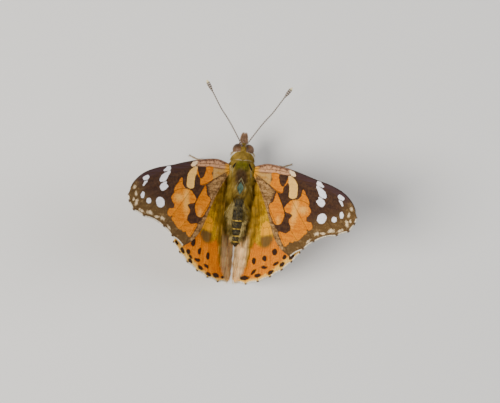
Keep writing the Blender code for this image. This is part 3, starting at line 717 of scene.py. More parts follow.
def hind_upper_paint(tree, mark, ragged):
    """Gold at the base, tan in the fold, orange beyond, with a pale rim and dark spots."""
    gold = clouded(tree, (150, 112, 4), (206, 158, 14), ragged, -0.9, 0.9)
    tan = clouded(tree, (244, 198, 132), (208, 156, 84), ragged, -0.8, 0.8)
    colour = over(tree, gold, tan, mark("tan", 0.3, 0.4))
    orange = clouded(tree, (210, 110, 0), (226, 134, 0), ragged, -0.9, 1.0)
    orange = laid(tree, orange, mark, ("glow", (248, 194, 76), 0.3, 0.5))
    colour = over(tree, colour, orange, mark("orange", 0.25, 0.4))
    colour = laid(tree, colour, mark, ("light", (242, 166, 10), 0.2, 0.25),
                  ("brown", (112, 84, 40), 0.3, 0.5), ("rim", (246, 190, 84), 0.25, 0.3))
    colour = veined(tree, colour, (150, 86, 6), 0.04, 0.13, 0.5)
    return laid(tree, colour, mark, ("dark", (50, 32, 20), 0.14, 0.1))


def fore_under_paint(tree, mark, ragged):
    """Rosy orange to the middle with the upper face's dark marks, then olive brown
    clouded with cream at the tip; the pale marks show through."""
    tip = clouded(tree, (150, 122, 82), (226, 212, 184), ragged, -0.1, 0.7)
    colour = over(tree, tint(62, 42, 32), tip, mark("margin", 0.6, 0.6))
    colour = laid(tree, colour, mark, ("grey", (222, 156, 116), 0.3, 0.4),
                  ("tan", (232, 150, 112), 0.3, 0.4))
    costal = clouded(tree, (216, 196, 158), (128, 100, 68), ragged, 0.0, 0.7)
    colour = over(tree, colour, costal, mark("costal", 0.2, 0.2))
    rosy = clouded(tree, (232, 122, 70), (240, 156, 104), ragged, -0.8, 0.9)
    colour = over(tree, colour, rosy, mark("orange"))
    colour = laid(tree, colour, mark, ("cream", (244, 214, 164)), ("white", (250, 248, 244), 0.1),
                  ("dash", (222, 216, 216), 0.2, 0.2))
    return veined(tree, colour, (196, 160, 110), 0.06, 0.16, 0.55)


def hind_under_paint(tree, mark, ragged):
    """Marbled olive brown and white, cut up by pale veins, with a row of ringed
    eyespots and a lilac line inside the pale rim."""
    colour = clouded(tree, (104, 80, 48), (164, 138, 92), ragged, -0.7, 0.2)
    colour = over(tree, colour, tint(234, 226, 204), ramp(tree, ragged, 0.35, 0.6))
    colour = laid(tree, colour, mark, ("fold", (222, 208, 180), 0.3, 0.4),
                  ("band", (186, 156, 106), 0.3, 0.3), ("line", (176, 176, 196), 0.1, 0.1),
                  ("rim", (224, 190, 138), 0.2, 0.2))
    colour = veined(tree, colour, (236, 224, 196), 0.08, 0.2, 0.85)
    return laid(tree, colour, mark, ("halo", (236, 214, 160), 0.05, 0.06),
                ("eye", (52, 40, 30), 0.05, 0.05), ("pupil", (110, 130, 150), 0.04, 0.05))


LEFT_FORE_SWEEP = 0.026


def swept(flat, sweep):
    """A flat wing carried forward by a share of its distance from the hinge."""
    return flat + flat[..., :1] * (0.0, sweep)


def wing_piece(name, sheet, flat, veins, side, looks, marks, sweep=0.0):
    """Both faces of one wing and its rim. The membrane stands off the middle surface
    by half its thickness, rises over each vein and sags a little between them."""
    rows, columns = flat.shape[:2]
    vein = np.min([away(flat, curve_points(v, 60)) for v in veins.values()], axis=0)
    relief = 0.05 * np.exp(-(vein / 0.13) ** 2)
    flute = 0.07 * np.exp(-(vein / 0.7) ** 2)
    posed = swept(flat, sweep)
    faces = [sheet(posed, flute + HALF_MEMBRANE + relief),
             sheet(posed, flute - HALF_MEMBRANE - relief)]
    points = np.concatenate([f.reshape(-1, 3) for f in faces]) * (side, 1.0, 1.0)
    upper = grid_faces(rows, columns)
    count = rows * columns
    index = np.arange(count).reshape(rows, columns)
    rim = np.concatenate([index[0], index[1:, -1], index[-1, -2::-1], index[-2:0:-1, 0]])
    following = np.roll(rim, -1)
    skirt = np.stack([following, rim, rim + count, following + count], axis=1)
    quads = np.concatenate([upper, upper[:, ::-1] + count, skirt])
    look_of_face = np.repeat([0, 1, 0], [len(upper), len(upper), len(skirt)])
    fields = {"lie": np.tile(np.dstack([flat, np.zeros(flat.shape[:2])]).reshape(-1, 3), (2, 1)),
              "vein": np.tile(vein.ravel(), 2)}
    fields.update({k: np.tile(v.ravel(), 2) for k, v in marks.items()})
    made = made_mesh(name, place(points), quads, looks, look_of_face, fields)
    return made


FORE_FLAT = wing_grid(FORE_COSTA, FORE_INNER, FORE_ENDS, 200, 120)
HIND_FLAT = wing_grid(HIND_COSTA, HIND_INNER, HIND_ENDS, 170, 130)
FORE_GRAIN = (0.35, 2.2, 1.0)
HIND_GRAIN = (2.2, 0.35, 1.0)
FORE_LOOKS = [scaled_look("forewing_upper_scales", fore_upper_paint, FORE_GRAIN),
              scaled_look("forewing_under_scales", fore_under_paint, FORE_GRAIN)]
HIND_LOOKS = [scaled_look("hindwing_upper_scales", hind_upper_paint, HIND_GRAIN),
              scaled_look("hindwing_under_scales", hind_under_paint, HIND_GRAIN)]
for hand, side in SIDES:
    forewing = wing_piece(f"forewing_{hand}_scaled", fore_sheet, FORE_FLAT, FORE_VEINS, side,
                          FORE_LOOKS, fore_upper(FORE_FLAT), LEFT_FORE_SWEEP * (side > 0))
    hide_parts(f"forewing_{hand}")
    hindwing = wing_piece(f"hindwing_{hand}_scaled", hind_sheet, HIND_FLAT, HIND_VEINS, side,
                          HIND_LOOKS, hind_upper(HIND_FLAT, hand))
    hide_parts(f"hindwing_{hand}")

# The body. Head, thorax and abdomen are one soft-haired skin from the face to the
# tail: a neck and a waist join the three, and the abdomen has eight plated rings.
HEAD_Y = -4.0
HEAD_Z = 0.1
HEAD_REACH = 1.95
HEAD_HALF_SIZE = (0.82, 1.25)
THORAX_MIDDLE = 1.2
THORAX_REACH = 4.9
THORAX_HALF_SIZE = (2.7, 2.95)
THORAX_POWER = 2.6
THORAX_COAT = (0.35, 0.4)
ABDOMEN_START = 6.0
ABDOMEN_LENGTH = 10.0
ABDOMEN_RADIUS = 1.8
ABDOMEN_RINGS = 8
ABDOMEN_COAT = 0.14
NECK_Y = -3.0
NECK_HALF_SIZE = (1.75, 1.4)
WAIST_Y = 5.7
WAIST_RADIUS = 1.2
SKIN_ENDS = (-5.7, 15.9)
BLEND_POWER = 8
PALE_RINGS = (10.6, 12.3, 13.8, 15.0)


def thorax_size(y):
    """Half width and half height of the thorax: a full curve of power 2.6 with a
    collar groove and a shield groove across its back."""
    u = np.clip(abs((y - THORAX_MIDDLE) / THORAX_REACH), 0.0, 1.0)
    full = (1.0 - u ** THORAX_POWER) ** (1 / THORAX_POWER)
    full = full * (1.0 - 0.06 * np.exp(-((y + 1.25) / 0.25) ** 2))
    full = full * (1.0 - 0.1 * smooth((-1.5 - y) / 0.9))
    shield = 1.0 - 0.05 * np.exp(-((y - 2.9) / 0.35) ** 2)
    return THORAX_HALF_SIZE[0] * full, THORAX_HALF_SIZE[1] * full * shield


def abdomen_size(y):
    """Radius of the abdomen: a waist, its fullest third, a taper and eight rings."""
    u = (y - ABDOMEN_START) / ABDOMEN_LENGTH
    body = np.where(u > 0.33, 1.0 - 0.62 * (np.clip(u - 0.33, 0, 1) / 0.67) ** 1.8,
                    0.74 + 0.26 * np.sin(np.pi * np.clip(u / 0.66, 0.0, 1.0)))
    ring = (u * ABDOMEN_RINGS) % 1.0
    groove = 1.0 - 0.07 * np.exp(-(np.minimum(ring, 1.0 - ring) / 0.12) ** 2)
    return ABDOMEN_RADIUS * body * groove


def skin_size(y):
    """Half width, half height and height of middle of the skin along the body. Head,
    thorax and abdomen, each less its coat's depth, neck and waist are joined by the
    eighth root of the sum of their eighth powers."""
    t = np.clip((y - HEAD_Y) / HEAD_REACH, -1.0, 1.0)
    face = np.sqrt(np.clip((y - SKIN_ENDS[0]) / 0.7, 0.0, 1.0))
    tail = np.sqrt(np.clip((SKIN_ENDS[1] - y) / 0.9, 0.0, 1.0))
    belly = np.where(y > 5.4, np.maximum(abdomen_size(y) - ABDOMEN_COAT, 0.0), 0.0) * tail
    neck = np.exp(-((y - NECK_Y) / 1.15) ** 6)
    waist = WAIST_RADIUS * np.exp(-((y - WAIST_Y) / 0.9) ** 4)
    sizes = []
    for k, head_power in enumerate((6, 4)):
        head = HEAD_HALF_SIZE[k] * (1 - t ** head_power) ** 0.5 * face
        chest = np.maximum(thorax_size(y)[k] - THORAX_COAT[k], 0.0)
        forms = (head, chest, belly, NECK_HALF_SIZE[k] * neck, waist)
        sizes.append(sum(form ** BLEND_POWER for form in forms) ** (1 / BLEND_POWER))
    return sizes[0], sizes[1], HEAD_Z * smooth((-2.0 - y) / 1.2)


def skin_point(y, angle):
    """A point of the skin: along the body, and round it from the left side over the
    back, swelling to the flap that covers each forewing's hinge."""
    width, height, middle = skin_size(y)
    beside = np.degrees(np.arcsin(np.sin(angle))) - 30.0
    flap = 1.0 + 0.13 * np.exp(-(beside / 17.0) ** 4 - ((y - 0.1) / 1.5) ** 4)
    return np.stack([width * flap * np.cos(angle), y, middle + height * flap * np.sin(angle)],
                    axis=-1)


def body_marks(points):
    """Depth of a place on the body inside each of the coat's markings: the dark back,
    the two dashes of the shoulders, painted shade for the dark slit beside each
    shoulder flap, the pale lines of the shoulders, the collar, the blue-green
    lozenge, the abdomen and its pale rings, and the pale underside."""
    x, y, z = abs(points[..., 0]), points[..., 1], points[..., 2]
    side = np.stack([x, y], axis=-1)
    on_back = z - 0.7
    lozenge = 0.78 - x - 0.55 * abs(y - 3.75)
    rings = np.max([0.1 - abs(y - r) for r in PALE_RINGS], axis=0)
    collar = 0.09 - abs(y + 2.1 - 0.16 * (x - 0.9) ** 2)
    marks = {"green": np.minimum(spot(side, (0.3, -0.75), (1.15, 1.2)), on_back),
             "dark": np.minimum(spot(side, (0.0, 1.5), (1.35, 1.9)), on_back),
             # dash: painted shade, near-black where the slit beside each shoulder flap lies
             "dash": np.minimum(spot(side, (1.78, -0.65), (0.19, 0.88), -28), on_back),
             "stripe": np.minimum(spot(side, (2.1, 1.5), (0.17, 1.5), -8), z),
             "collar": np.minimum(np.minimum(collar, 2.0 - x), np.minimum(x - 0.12, z - 0.2)),
             "brow": np.minimum(0.06 + 0.08 * x - abs(y + 3.92 - 0.5 * (x - 0.9) ** 2),
                                np.minimum(x - 0.6, z + 1.2)),
             "teal": np.minimum(lozenge, on_back),
             "teal_edge": np.minimum(0.08 - abs(lozenge + 0.36), on_back),
             "tail": y - 5.9, "ring": np.minimum(rings, 1.0 - x), "under": -0.9 - z}
    return {k: np.broadcast_to(v, x.shape) for k, v in marks.items()}


def make_hair_tone():
    """Clouds of tone over the body, in its own millimetres."""
    group, given, result = new_group("hair_tone", {"Lie": (0.0, 0.0, 0.0)},
                                     {"Cloud": float, "Fine": float})
    for size, label in ((1.1, "Cloud"), (5.0, "Fine")):
        soft = noise(group, given.outputs[0], size, 3.0)
        group.links.new(sum_up(group, "MULTIPLY_ADD", soft, 2.4, -1.2), result.inputs[label])
    return group


HAIR_TONE = make_hair_tone()


def haired_look(name, paint):
    """A material of hair or of the skin under it. paint(tree, mark, cloud, fine) gives
    the colour at the root, and each hair has its own tone and a paler tip."""
    look, tree, shader = new_look(name)
    tone = use_group(tree, HAIR_TONE, Lie=lie(tree))

    def mark(label, wander=0.12, blur=0.08):
        return use_group(tree, MARK_EDGE, Depth=field(tree, label), Ragged=tone.outputs["Cloud"],
                         Wander=wander, Blur=blur).outputs["Mask"]

    colour = paint(tree, mark, tone.outputs["Cloud"], tone.outputs["Fine"])
    value = sum_up(tree, "MULTIPLY_ADD", field(tree, "tone"), 0.38, 0.8)
    value = sum_up(tree, "MULTIPLY_ADD", field(tree, "tip"), 0.45, value)
    value = sum_up(tree, "MULTIPLY_ADD", tone.outputs["Fine"], 0.12, value)
    tree.links.new(lightened(tree, colour, value), shader.inputs["Base Color"])
    bumped(tree, shader, tone.outputs["Fine"], 0.4, 0.00005)
    tree.links.new(sum_up(tree, "MULTIPLY_ADD", tone.outputs["Cloud"], 0.08, 0.6),
                   shader.inputs["Roughness"])
    shader.inputs["Specular IOR Level"].default_value = 0.3
    return look


def body_paint(tree, mark, cloud, fine):
    """Olive hair with a greener collar and a darker back, dark plates on the abdomen,
    and the small marks of body_marks laid over them; the near-black dashes are painted
    shade in the slit beside each shoulder flap."""
    colour = clouded(tree, (140, 112, 34), (182, 150, 70), cloud, -0.7, 0.7)
    colour = laid(tree, colour, mark, ("green", (126, 116, 18), 0.3, 0.4),
                  ("dark", (92, 66, 34), 0.3, 0.5))
    plates = clouded(tree, (50, 44, 32), (132, 114, 52), fine, -0.1, 0.6)
    colour = over(tree, colour, plates, mark("tail", 0.4, 0.5))
    return laid(tree, colour, mark, ("ring", (224, 182, 62), 0.08, 0.08),
                ("stripe", (176, 168, 118), 0.12, 0.15), ("collar", (216, 204, 166), 0.06, 0.06),
                # The near-black dash is painted shade for the slit beside each shoulder flap.
                ("brow", (238, 230, 206), 0.06, 0.09), ("dash", (22, 18, 14), 0.04, 0.05),
                ("teal_edge", (176, 170, 122), 0.03, 0.05), ("teal", (104, 130, 112), 0.06, 0.08),
                ("under", (196, 184, 160), 0.4, 0.5))


def flank_paint(tree, mark, cloud, fine):
    """Gold-brown hair with some pale locks, and the pale underside."""
    colour = clouded(tree, (118, 90, 8), (178, 144, 44), cloud, -0.7, 0.5)
    colour = over(tree, colour, tint(206, 186, 128), ramp(tree, field(tree, "tone"), 0.45, 0.9))
    return laid(tree, colour, mark, ("under", (196, 184, 160), 0.4, 0.5))


def side_hair_paint(tree, mark, cloud, fine):
    """Olive and straw-coloured locks."""
    return clouded(tree, (112, 92, 30), (202, 178, 112), field(tree, "tone"), -0.5, 0.9)


BODY_LOOK = haired_look("body_hair_olive", body_paint)
FLANK_LOOK = haired_look("flank_hair_pale", flank_paint)


def bare(place_along):
    """The fields of a surface without hairs: its place, and no tone or tip."""
    return {"lie": place_along, "tone": 0 * place_along[:, 0], "tip": 0 * place_along[:, 0]}


def make_skin():
    """The skin over a grid of places along the body and angles round it."""
    y = np.concatenate([np.linspace(SKIN_ENDS[0], -5.3, 12, endpoint=False),
                        np.linspace(-5.3, 15.4, 300, endpoint=False),
                        np.linspace(15.4, SKIN_ENDS[1], 12)])
    angle = np.linspace(0.0, 2 * np.pi, 80, endpoint=False)
    points = skin_point(y[:, None] + 0 * angle, angle[None, :] + 0 * y[:, None]).reshape(-1, 3)
    made = made_mesh("body_skin", place(points), grid_faces(len(y), len(angle), 0, True),
                     [BODY_LOOK], None, {**bare(points), **body_marks(points)})
    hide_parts("head", "thorax", "abdomen")


make_skin()

# The coat. Head, thorax and abdomen carry fine hairs that lie back toward the tail,
# long on the shoulders and flanks and short, nearly scales, on the abdomen. Each
# hair is a three-sided spike rooted in the skin.


def spikes(roots, ahead, length, width, sag, rings):
    """Points, faces, run and points per spike: a ring of three round each root and at
    each further share of the length, narrowing, then the tip; sag is added by the
    square of the share run."""
    count = len(roots)
    guide = np.where(abs(ahead[:, 2:]) < 0.8, [[0.0, 0.0, 1.0]], [[0.0, 1.0, 0.0]])
    across = unit(np.cross(ahead, guide))
    up = np.cross(across, ahead)
    share = np.arange(rings) / rings
    angle = np.arange(3) * 2 * np.pi / 3
    ring = (across[:, None, None] * np.cos(angle)[None, None, :, None]
            + up[:, None, None] * np.sin(angle)[None, None, :, None])
    line = (roots[:, None] + ahead[:, None] * (length[:, None] * share)[..., None]
            + sag[:, None] * (share ** 2)[None, :, None])
    swell = width[:, None] * (1.0 - share) ** 0.6
    body = line[:, :, None] + ring * swell[:, :, None, None]
    tips = roots + ahead * length[:, None] + sag
    points = np.concatenate([body.reshape(count, -1, 3), tips[:, None]], axis=1)
    one = [(0, 2, 1, 1)]
    for k in range(rings - 1):
        one += [(3 * k + i, 3 * k + (i + 1) % 3, 3 * k + 3 + (i + 1) % 3, 3 * k + 3 + i)
                for i in range(3)]
    one += [(3 * rings - 3 + i, 3 * rings - 3 + (i + 1) % 3, 3 * rings, 3 * rings)
            for i in range(3)]
    each = 3 * rings + 1
    faces = (np.array(one)[None] + each * np.arange(count)[:, None, None]).reshape(-1, 4)
    run = np.append(np.repeat(share, 3), 1.0)
    return points.reshape(-1, 3), faces, np.tile(run, count), each


BAKE_PATCH = 0.0015


def unwrapped(u, v):
    """Places in the bake map from two shares of a surface, kept clear of its border."""
    return np.stack([u, v], 1) * 0.96 + 0.02


def make_coat(name, roots, ahead, length, width, sag, unwrap, look, fields, rng, lock,
              rings=2, side=1, put_in=place, marks=None):
    """One piece of hair. lock numbers each hair's lock: its hairs share a tone and lean
    together at the tips. The bake map gives each hair a patch 0.003 across at its
    root's place on the unwrapped surface that it grows from."""
    lock = np.unique(lock, axis=0, return_inverse=True)[1].ravel()
    size = np.bincount(lock)
    middle = np.stack([np.bincount(lock, roots[:, k]) / size for k in range(3)], 1)
    sag = sag + (middle[lock] - roots) * 0.8
    points, faces, run, each = spikes(roots, ahead, length, width, sag, rings)
    angle = np.arange(3) * 2 * np.pi / 3
    patch = np.concatenate([np.stack([np.cos(angle), np.sin(angle)], 1) * BAKE_PATCH * (1 - k / rings)
                            for k in range(rings)] + [np.zeros((1, 2))])
    bake_map = np.repeat(unwrap, each, axis=0) + np.tile(patch, (len(roots), 1))
    values = {k: np.repeat(v, each, axis=0) for k, v in fields.items()}
    if marks:
        values.update(marks(points * (1.0, 1.0, 0.8)))
    tone = rng.uniform(-1.0, 1.0, len(size))[lock] * 0.8 + rng.uniform(-0.2, 0.2, len(roots))
    values["tone"] = np.repeat(tone, each)
    values["tip"] = run
    return made_mesh(name, put_in(points * (side, 1.0, 1.0)), faces, [look], None, values, bake_map)


def skin_frame(y, angle):
    """The skin's point with its outward, tailward and around directions."""
    here = skin_point(y, angle)
    tail = unit(skin_point(y + 0.02, angle) - here)
    around = unit(skin_point(y, angle + 0.01) - here)
    out = unit(np.cross(tail, around))
    out *= np.sign((out * (here - np.stack([0 * y, y, 0 * y], -1))).sum(-1))[:, None]
    return here, out, tail, around


def body_coat(name, count, span, arc, seed, length, lift, width, aside=0.0, sag=0.3, rings=2,
              look=BODY_LOOK):
    """Hairs sown at random over a span of the body and an arc round it. length and
    lift are functions of the place along and the angle round; aside turns the hairs
    away from the middle of the back; sag bends the tips tailward and down."""
    rng = np.random.default_rng(seed)
    y = rng.uniform(*span, count * 3)
    angle = np.radians(rng.uniform(*arc, count * 3))
    wide, high, _ = skin_size(y)
    keep = rng.uniform(0.0, 1.0, count * 3) * 2.5 < (wide + high) / 2
    y, angle = y[keep][:count], angle[keep][:count]
    here, out, tail, around = skin_frame(y, angle)
    rise = np.radians(lift(y, angle) + rng.normal(0.0, 6.0, len(y)))
    turned = rng.normal(0.0, 0.16, len(y)) - aside * np.sign(np.cos(angle))
    ahead = unit(tail * np.cos(rise)[:, None] + out * np.sin(rise)[:, None]
                 + around * turned[:, None])
    long = length(y, angle) * rng.uniform(0.7, 1.15, len(y))
    bend = (tail - out * 0.35) * (long * sag)[:, None]
    lock = np.stack([np.floor(angle * 5.5), np.floor(y / 1.1 + np.sin(np.floor(angle * 5.5) * 4))],
                    1)
    unwrap = unwrapped((angle / (2 * np.pi)) % 1.0,
                       (y - SKIN_ENDS[0]) / (SKIN_ENDS[1] - SKIN_ENDS[0]))
    fields = {"lie": here, **body_marks(here)}
    made = make_coat(name, here - out * 0.04, ahead, long, np.full(len(y), width), bend, unwrap,
                     look, fields, rng, lock, rings, marks=body_marks if rings == 2 else None)


def flank(angle):
    """1 at the body's sides, 0 over the back and the belly."""
    return abs(np.cos(angle)) ** 2


body_coat("coat_head", 7000, (-5.5, -3.3), (-70, 250), 3,
          lambda y, a: 0.45 + 0.3 * smooth(y + 5.2) * smooth(2 * np.sin(a)),
          lambda y, a: 36 + 0 * y, 0.03, 0.75)
body_coat("coat_nape", 4500, (-3.75, -2.3), (-30, 210), 4,
          lambda y, a: 0.6 + 0.5 * flank(a), lambda y, a: 52 + 0 * y, 0.03)
body_coat("coat_thorax_back", 16000, (-2.5, 5.9), (0, 180), 5,
          lambda y, a: 0.5 + 0.5 * flank(a) + 0.3 * smooth((y - 2) / 2),
          lambda y, a: 20 + 10 * flank(a), 0.03)
body_coat("coat_thorax_under", 8000, (-2.7, 5.9), (180, 360), 7,
          lambda y, a: 0.8 + 0 * y, lambda y, a: 30 + 0 * y, 0.038)
body_coat("coat_abdomen", 14000, (5.6, 15.8), (0, 360), 9,
          lambda y, a: 0.36 + 0.3 * flank(a), lambda y, a: 14 + 0 * y, 0.034)
for hand, arc, seed in (("left", (-14, 42), 11), ("right", (138, 194), 12)):
    body_coat(f"coat_shoulder_{hand}", 5000, (-2.0, 2.6), arc, seed,
              lambda y, a: 1.5 + 0.3 * y, lambda y, a: 17 + 0 * y, 0.034, 0.22, 0.25, 3, FLANK_LOOK)
for hand, arc, seed in (("left", (-34, 44), 13), ("right", (136, 214), 14)):
    body_coat(f"coat_flank_{hand}", 6500, (2.0, 6.4), arc, seed,
              lambda y, a: 2.3 + 0.25 * y, lambda y, a: 15 + 0 * y, 0.036, 0.34, 0.2, 3, FLANK_LOOK)
SIDE_HAIR_LOOK = haired_look("abdomen_side_hair", side_hair_paint)
for hand, arc, seed in (("left", (4, 42), 15), ("right", (138, 176), 16)):
    body_coat(f"coat_abdomen_side_{hand}", 1500, (6.2, 14.2), arc, seed,
              lambda y, a: 2.5 - 0.08 * y, lambda y, a: 8 + 0 * y, 0.03, -0.22, 0.1, 3,
              SIDE_HAIR_LOOK)

# The wings' front edges. Each is stiffened by a round hollow vein, clothed in the same
# scales as the strip behind it and darker toward the tip.


def rod(path, radii, sides):
    """Points and faces of a round rod along a path with a radius for each point; its
    rings stand square to the path, and each end is closed on its middle."""
    path = np.asarray(path, float)
    along = unit(np.gradient(path, axis=0))
    guide = np.eye(3)[int(np.argmin(abs(along).max(0)))]
    across = unit(np.cross(along, guide))
    up = np.cross(across, along)
    angle = np.linspace(0.0, 2 * np.pi, sides, endpoint=False)[None, :, None]
    ring = across[:, None] * np.cos(angle) + up[:, None] * np.sin(angle)
    points = path[:, None] + ring * np.broadcast_to(radii, len(path))[:, None, None]
    count = len(path) * sides
    first = np.arange(sides)
    after = (first + 1) % sides
    last = count - sides
    hub = np.full(sides, count)
    faces = np.concatenate([grid_faces(len(path), sides, 0, True),
                            np.stack([after, first, hub, hub], axis=1),
                            np.stack([first + last, after + last, hub + 1, hub + 1], axis=1)])
    return np.vstack([points.reshape(-1, 3), path[:1], path[-1:]]), faces


def edge_paint(tree, mark, cloud, fine):
    """Pinkish brown near the hinge, dark brown beyond."""
    colour = clouded(tree, (176, 128, 96), (96, 64, 46), cloud, -0.4, 0.5)
    return over(tree, tint(60, 42, 34), colour, mark("base", 0.5, 0.6))


EDGE_LOOK = haired_look("front_vein_scales", edge_paint)
EDGE_PALE_TO = 10.0
EDGE_RADII = (0.17, 0.1)


def front_vein(name, sheet, costa, side, sweep=0.0):
    """A rod along the wing's front edge, stopping short of the tip."""
    line = swept(curve_points(costa, 160)[:-6], sweep)
    path = sheet(line, 0 * line[:, 0])
    points, faces = rod(path, np.linspace(*EDGE_RADII, len(path)), 12)
    fields = {**bare(points), "base": EDGE_PALE_TO - points[:, 0]}
    made = made_mesh(name, place(points * (side, 1.0, 1.0)), faces, [EDGE_LOOK], None, fields)


for hand, side in SIDES:
    front_vein(f"forewing_{hand}_front_vein", fore_sheet, FORE_COSTA, side,
               LEFT_FORE_SWEEP * (side > 0))
    front_vein(f"hindwing_{hand}_front_vein", hind_sheet, HIND_COSTA, side)

# The eyes. Each is a smooth half ball of horn made up of some thousands of facets,
# set into the side of the head with its rim inside.
EYE_CENTRE = (1.05, -4.2)
EYE_RADII = (1.2, 1.25, 1.35)


def eye_look():
    """Brown horn of some thousands of facets, each a shallow dome, with darker clouds."""
    look, tree, shader = new_look("eye")
    where = add(tree, "ShaderNodeTexCoord").outputs["Object"]
    colour = clouded(tree, (104, 68, 30), (58, 38, 22), noise(tree, where, 700.0), 0.3, 0.7)
    tree.links.new(colour, shader.inputs["Base Color"])
    shader.inputs["Roughness"].default_value = 0.5
    facets = add(tree, "ShaderNodeTexVoronoi", where)
    facets.inputs["Scale"].default_value = 14000.0
    bumped(tree, shader, facets.outputs["Distance"], 0.5, 0.00003).invert = True
    return look


EYE_LOOK = eye_look()


def make_eye_piece(hand, side):
    """Half an ellipsoid whose rim runs straight inward into the head."""
    lat = np.concatenate([[-0.5, -0.25], np.linspace(0.0, 0.995, 40)])
    quarter = np.clip(lat, 0, 1) * np.pi / 2
    out = np.where(lat < 0, lat, EYE_RADII[0] * np.sin(quarter))
    ring = np.where(lat < 0, 1.0, np.cos(quarter))[:, None]
    angle = np.linspace(0.0, 2 * np.pi, 64, endpoint=False)
    points = np.stack([(EYE_CENTRE[0] + out)[:, None] + 0 * angle,
                       EYE_CENTRE[1] + EYE_RADII[1] * ring * np.cos(angle),
                       HEAD_Z + EYE_RADII[2] * ring * np.sin(angle)], axis=-1).reshape(-1, 3)
    made = made_mesh(f"eye_{hand}_facets", place(points * (side, 1.0, 1.0)),
                     grid_faces(len(lat), len(angle), 0, True), [EYE_LOOK])
    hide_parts(f"eye_{hand}")


for hand, side in SIDES:
    make_eye_piece(hand, side)

# The fringe: long scales set along the wings' outer margins like the pile of a ribbon,
# white between the veins and brown where each vein ends.


def fringe_paint(tree, mark, cloud, fine):
    """White, with brown where a vein ends."""
    return over(tree, tint(242, 230, 206), tint(92, 66, 40), mark("dark", 0.15, 0.2))


FRINGE_LOOK = haired_look("fringe_scales", fringe_paint)


def fringe(name, sheet, ends, side, seed, count, length, sweep=0.0):
    """Scales rooted at random along the scalloped margin, each square out from it."""
    rng = np.random.default_rng(seed)
    line = scalloped(ends, 900)
    at = rng.uniform(0.0, len(line) - 1.01, count)
    low = at.astype(int)
    flat = line[low] + (line[low + 1] - line[low]) * (at - low)[:, None]
    along = unit(line[low + 1] - line[low])
    out = np.stack([-along[:, 1], along[:, 0]], 1)
    out *= np.sign((out * (line.mean(0) - line[[0, -1]].mean(0))).sum(1))[:, None]
    turned = out + along * rng.normal(0.0, 0.2, count)[:, None]
    posed = swept(flat, sweep) - out * 0.05
    rise = rng.uniform(-0.05, 0.05, count)
    here = sheet(posed, rise)
    ahead = unit(sheet(posed + turned * 0.1, rise) - here)
    near = np.min([np.linalg.norm(flat - np.array(e), axis=1) for e in ends.values()], axis=0)
    fields = {"lie": np.column_stack([flat, 0 * at]), "dark": 0.3 - near}
    unwrap = unwrapped(at / len(line), 0.5 + rise)
    made = make_coat(name, here, ahead, length * rng.uniform(0.7, 1.15, count),
                     np.full(count, 0.045), 0 * here, unwrap, FRINGE_LOOK, fields, rng,
                     np.stack([low // 4, low * 0], 1), 2, side)


for hand, side in SIDES:
    fringe(f"forewing_{hand}_fringe", fore_sheet, FORE_ENDS, side, 51, 2400, 0.34,
           LEFT_FORE_SWEEP * (side > 0))
    fringe(f"hindwing_{hand}_fringe", hind_sheet, HIND_ENDS, side, 52, 2700, 0.4)

# The hair of the hindwings. Long soft hairs run back from the base of each hindwing: gold
# over its base, pale along the fold beside the abdomen.


def wing_frame(sheet, flat):
    """The wing's point with its outward, forward and face directions."""
    here = sheet(flat, np.full(len(flat), HALF_MEMBRANE))
    outward = unit(sheet(flat + (0.02, 0.0), np.full(len(flat), HALF_MEMBRANE)) - here)
    forward = np.tile([[0.0, -1.0, 0.0]], (len(flat), 1))
    return here, outward, forward, np.cross(forward, outward)


def within_wing(flat, costa, inner, ends):
    """Depth inside a whole wing's outline."""
    outline = [tuple(q) for q in np.vstack([curve_points(costa, 40), scalloped(ends, 80)[1:],
                                            curve_points(inner, 60)[::-1][1:-1]])]
    return within(flat, outline, False)


def hair_paint(tree, mark, cloud, fine):
    """Gold, with some paler locks and a pale tan fold."""
    colour = clouded(tree, (152, 114, 6), (206, 158, 24), cloud, -0.6, 0.6)
    colour = over(tree, colour, tint(226, 180, 84), ramp(tree, field(tree, "tone"), 0.4, 0.9))
    return laid(tree, colour, mark, ("tan", (255, 222, 164), 0.5, 0.7))


WING_HAIR_LOOK = haired_look("wing_hair_gold", hair_paint)
HAIRS_SOWN = 60000
HAIRS_KEPT = 8000


def hind_hair(hand, side, seed):
    """Hairs sown over the hindwing and kept near its base and fold, fewer outward."""
    rng = np.random.default_rng(seed)
    flat = np.stack([rng.uniform(-5.3, 5.0, HAIRS_SOWN), rng.uniform(-22.5, -1.6, HAIRS_SOWN)], 1)
    reach = 4.6 - 0.34 * np.clip(-flat[:, 1] - 9, 0, 20)
    chance = smooth((reach - flat[:, 0]) / 2.5) * (1 - 0.6 * smooth((-17 - flat[:, 1]) / 4))
    keep = within_wing(flat, HIND_COSTA, HIND_INNER, HIND_ENDS) > 0.1
    keep &= (flat[:, 1] > -20.6) | (flat[:, 0] < -2.0)
    keep &= rng.uniform(0, 1, len(flat)) < chance * 0.8
    flat = flat[keep][:HAIRS_KEPT]
    here, outward, forward, face = wing_frame(hind_sheet, flat)
    lean = 0.1 + 0.035 * flat[:, 0] + rng.normal(0.0, 0.06, len(flat))
    ahead = unit(-forward + outward * lean[:, None]
                 + face * rng.uniform(0.06, 0.26, len(flat))[:, None])
    long = rng.uniform(1.1, 2.4, len(flat)) * (1 - 0.3 * smooth((flat[:, 0] - 2) / 3))
    bend = -face * (long * 0.12)[:, None]
    unwrap = np.stack([(flat[:, 0] + 6) / 24, (flat[:, 1] + 25) / 26], 1)
    fields = {"lie": np.column_stack([flat * (3.0, 0.3), np.zeros(len(flat))]),
              "tan": fold_tan(flat)}
    made = make_coat(f"hindwing_{hand}_hair", here, ahead, long, np.full(len(flat), 0.036), bend,
                     unwrap, WING_HAIR_LOOK, fields, rng,
                     np.stack([np.floor(flat[:, 0] / 0.38), np.floor(flat[:, 1] / 2.2)], 1), 3, side)


